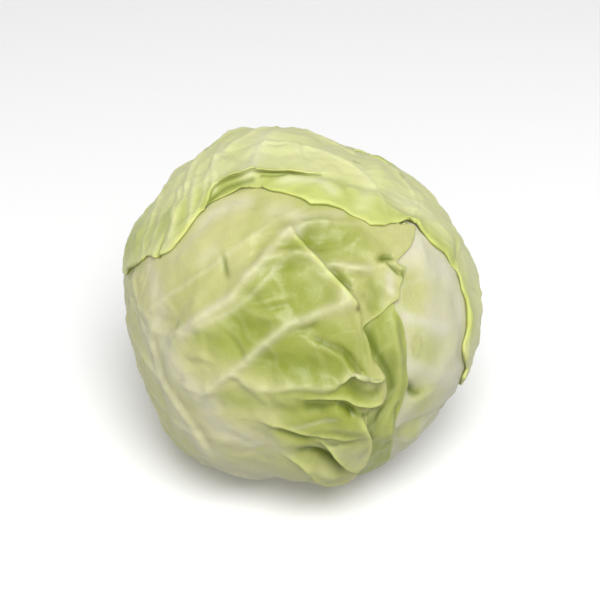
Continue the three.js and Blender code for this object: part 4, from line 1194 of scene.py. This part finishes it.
class Paint(Nodes):
    """A material under construction."""

    def __init__(self, name):
        self.material = bpy.data.materials.new(name)
        self.material.use_nodes = True
        super().__init__(self.material.node_tree)
        self.tree.nodes.clear()
        self.shader = self.tree.nodes.new("ShaderNodeBsdfPrincipled")
        output = self.tree.nodes.new("ShaderNodeOutputMaterial")
        self.tree.links.new(self.shader.outputs[0], output.inputs["Surface"])
        self.coordinate = self.node("ShaderNodeTexCoord", {}, {}, "Object")

    def set(self, **inputs):
        self.fill(self.shader, {key.replace("_", " "): value for key, value in inputs.items()})

    def mask(self, name):
        return self.node("ShaderNodeAttribute", {"attribute_name": name}, {}, "Fac")

    def noise(self, scale, detail=2.0, roughness=0.5):
        inputs = {"Vector": self.coordinate, "Scale": scale, "Detail": detail, "Roughness": roughness}
        return self.node("ShaderNodeTexNoise", {}, inputs, "Fac")

    def mix(self, factor, first, second):
        settings = {"data_type": "RGBA", "blend_type": "MIX"}
        return self.node("ShaderNodeMix", settings, {0: factor, 6: first, 7: second}, 2)

    def bump(self, height, distance, strength=1.0):
        inputs = {"Height": height, "Distance": distance, "Strength": strength}
        return self.node("ShaderNodeBump", {}, inputs, "Normal")


def tint(red, green, blue):
    """A colour in linear light from its sRGB values, 0 to 255."""
    return tuple(
        (v / 255 / 12.92 if v / 255 <= 0.04045 else ((v / 255 + 0.055) / 1.055) ** 2.4)
        for v in (red, green, blue)) + (1.0,)


# ---- finishes ----
# The last two colours of each finish are painted: light along margins and fold lips (darker than the blade
# on the pale finish, as painted shade), and shade in dents and crevices.
FINISHES = {
    "front": dict(light=tint(186, 186, 126), deep=tint(143, 151, 58), pale=tint(197, 194, 162),
                  vein=tint(198, 196, 154), edge=tint(198, 204, 122), hollow_shade=tint(118, 130, 34)),
    "cap": dict(light=tint(206, 209, 146), deep=tint(178, 186, 104), pale=tint(214, 215, 168),
                vein=tint(213, 214, 166), edge=tint(198, 204, 116), hollow_shade=tint(140, 152, 50)),
    "pale": dict(light=tint(202, 200, 165), deep=tint(180, 184, 114), pale=tint(208, 205, 180),
                 vein=tint(208, 206, 182), edge=tint(178, 180, 124), hollow_shade=tint(140, 148, 60)),
    "deep": dict(light=tint(188, 190, 126), deep=tint(144, 153, 64), pale=tint(198, 197, 152),
                 vein=tint(190, 192, 128), edge=tint(192, 200, 116), hollow_shade=tint(112, 126, 30)),
}
SHADE_GREEN = tint(88, 102, 8)
BROWN = tint(112, 92, 48)
PATCH_SCALE = 38.0       # soft patches of colour, per metre
CELL_SCALE = 260.0       # the finest net of veins, per metre
NET_WIDTH = 0.16
GRAIN_SCALE = 900.0
WAX_RELIEF = 0.00035     # depth of the bump, in metres


def leaf_finish(name, light, deep, pale, vein, edge, hollow_shade):
    paint = Paint(name)
    veins = paint.mask("vein")
    core = paint.mask("core")
    patches = paint.noise(PATCH_SCALE, 3.0) - 0.5
    cell_inputs = {"Vector": paint.coordinate, "Scale": CELL_SCALE, "Randomness": 1.0}
    cells = paint.node(
        "ShaderNodeTexVoronoi", {"feature": "DISTANCE_TO_EDGE"}, cell_inputs, "Distance")
    net = 1.0 - cells.step(0.0, NET_WIDTH)
    paler = paint.mask("pale") * (1.1 - 0.7 * core) + patches * 0.4
    layers = [
        ((core * 0.85 + patches * 1.5).step(0.0, 1.0), deep),
        (net * 0.07, light),
        (paler.step(0.1, 1.0) * 0.9, pale),
        # green tones: partly the leaf's own colour, partly painted shade in hollows
        (paint.mask("green") * (0.7 + 0.9 * patches), deep),
        # partly the ridges' paler rise, partly painted light on them
        (paint.mask("swell_light") * 0.25, light),
        # painted shade in the dents
        (paint.mask("dent_shade") * 0.65, hollow_shade),
        # painted shade at the foot of each fold
        (paint.mask("crevice_shade") * 0.8, hollow_shade),
        # white tones: partly the leaf's own paler patches, partly painted light on lit bulges
        (paint.mask("white") * (0.85 + 0.8 * patches), pale),
        (paint.mask("fine") * 0.3, vein),
        (veins * 0.6, vein),
        # painted highlight on the lip of each fold
        (paint.mask("crest_highlight") * 0.7, edge),
        # painted lighting along the margin: lighter on most finishes, darker on the pale one
        (paint.mask("edge") * 0.5, edge),
        # painted deep shade in crevices and under margins
        (paint.mask("dark") * 0.9, SHADE_GREEN),
        (paint.mask("speck") * 0.9, BROWN),
    ]
    blade = light
    for factor, colour in layers:
        blade = paint.mix(factor, blade, colour)
    relief = net * 0.2 + paint.noise(GRAIN_SCALE, 4.0, 0.6) * 0.35 + paint.noise(160.0) * 0.8
    paint.set(
        Base_Color=blade,
        Roughness=0.44 + 0.16 * (paint.noise(120.0, 3.0) - 0.5) - 0.04 * veins,
        Normal=paint.bump(relief, WAX_RELIEF, 0.55),
        Subsurface_Weight=0.3,
        Subsurface_Scale=0.004,
        Subsurface_Radius=(0.9, 1.0, 0.3),
        Specular_IOR_Level=0.42,
    )
    return paint.material


def heart_finish():
    paint = Paint("packed_heart")
    flesh = paint.mix(paint.noise(60.0), tint(196, 202, 120), tint(222, 224, 170))
    paint.set(Base_Color=flesh, Roughness=0.5)
    return paint.material


def stem_finish():
    paint = Paint("cut_stem_face")
    rings = paint.noise(420.0, 4.0, 0.6)
    paint.set(
        Base_Color=paint.mix(rings, tint(206, 196, 150), tint(232, 226, 196)),
        Roughness=0.62,
        Normal=paint.bump(rings, 0.0004, 0.6),
    )
    return paint.material


# ---- build the head ----
LEAF_MAPS = [Leaf(facts) for facts in LEAVES]
MATERIALS = {name: leaf_finish(name + "_leaf", **colours) for name, colours in FINISHES.items()}
SLOTS = {"front": "green_leaf", "deep": "green_leaf", "pale": "pale_leaf", "cap": "cap_leaf"}
for number, facts in enumerate(LEAVES):
    make_leaf(number, MATERIALS[facts["finish"]], SLOTS[facts["finish"]])
make_heart(heart_finish())
dress_stem(stem_finish())


# ---- studio ----
# Camera: a long lens that looks down on the head.
CAMERA_ELEVATION = 33.0
CAMERA_DISTANCE = 0.757
CAMERA_LENS = 100.0
CAMERA_RISE = 0.0046     # the lens aims this far above the middle of the head
KEY_PLACE = (9, 55)      # azimuth and elevation of the soft main light
KEY_DISTANCE = 1.6
KEY_SIZE = 1.0
KEY_POWER = 26.2
SURROUND = 0.33
LOW_GLOWS = ((1, -1.0, 2.2), (0, -1.0, 0.8), (1, 1.0, 0.4))     # axis, its sign, and strength


def add_floor():
    deselect()
    bpy.ops.mesh.primitive_plane_add(size=6.0)
    floor = bpy.context.object
    floor.name = "studio_floor"
    paint = Paint("white_floor")
    paint.set(Base_Color=(0.98, 0.98, 0.98, 1.0), Roughness=1.0, Specular_IOR_Level=0.0)
    floor.data.materials.append(paint.material)
    floor.visible_diffuse = False


def hang(name, data, location, sight):
    """Put a lamp or camera at a place, looking along sight."""
    held = bpy.data.objects.new(name, data)
    bpy.context.scene.collection.objects.link(held)
    held.location = location
    held.rotation_euler = mathutils.Vector(sight).to_track_quat("-Z", "Y").to_euler()
    return held


def add_key():
    light = bpy.data.lights.new("key", "AREA")
    light.shape = "DISK"
    light.size = KEY_SIZE
    light.energy = KEY_POWER
    to_light = direction(*KEY_PLACE)
    hang("key", light, HEAD_MIDDLE + to_light * KEY_DISTANCE, -to_light)


def add_surround():
    """Soft white surround, brighter low down in front and dim from below."""
    world = bpy.data.worlds.new("studio")
    world.use_nodes = True
    nodes = Nodes(world.node_tree)
    way = nodes.node("ShaderNodeTexCoord", {}, {}, "Generated")
    axes = [nodes.node("ShaderNodeSeparateXYZ", {}, [way], k) for k in range(3)]
    up = axes[2]
    low = (up > 0.0) * ((1.0 - up) * (1.0 - up))
    strength = SURROUND
    for axis, sign, amount in LOW_GLOWS:
        facing = (axes[axis] * sign).at_least(0.0)
        strength = facing * facing * low * amount + strength
    nodes.fill(world.node_tree.nodes["Background"], {"Color": (1.0, 1.0, 1.0, 1.0), "Strength": strength})
    bpy.context.scene.world = world


def add_camera():
    sight = direction(0.0, CAMERA_ELEVATION)
    above = direction(180.0, 90.0 - CAMERA_ELEVATION)
    lens = bpy.data.cameras.new("camera")
    lens.lens = CAMERA_LENS
    lens.sensor_width = 36.0
    lens.clip_start = 0.01
    place = HEAD_MIDDLE + above * CAMERA_RISE + sight * CAMERA_DISTANCE
    bpy.context.scene.camera = hang("camera", lens, place, -sight)


add_floor()
add_key()
add_surround()
add_camera()
bpy.context.scene.view_settings.view_transform = "Standard"
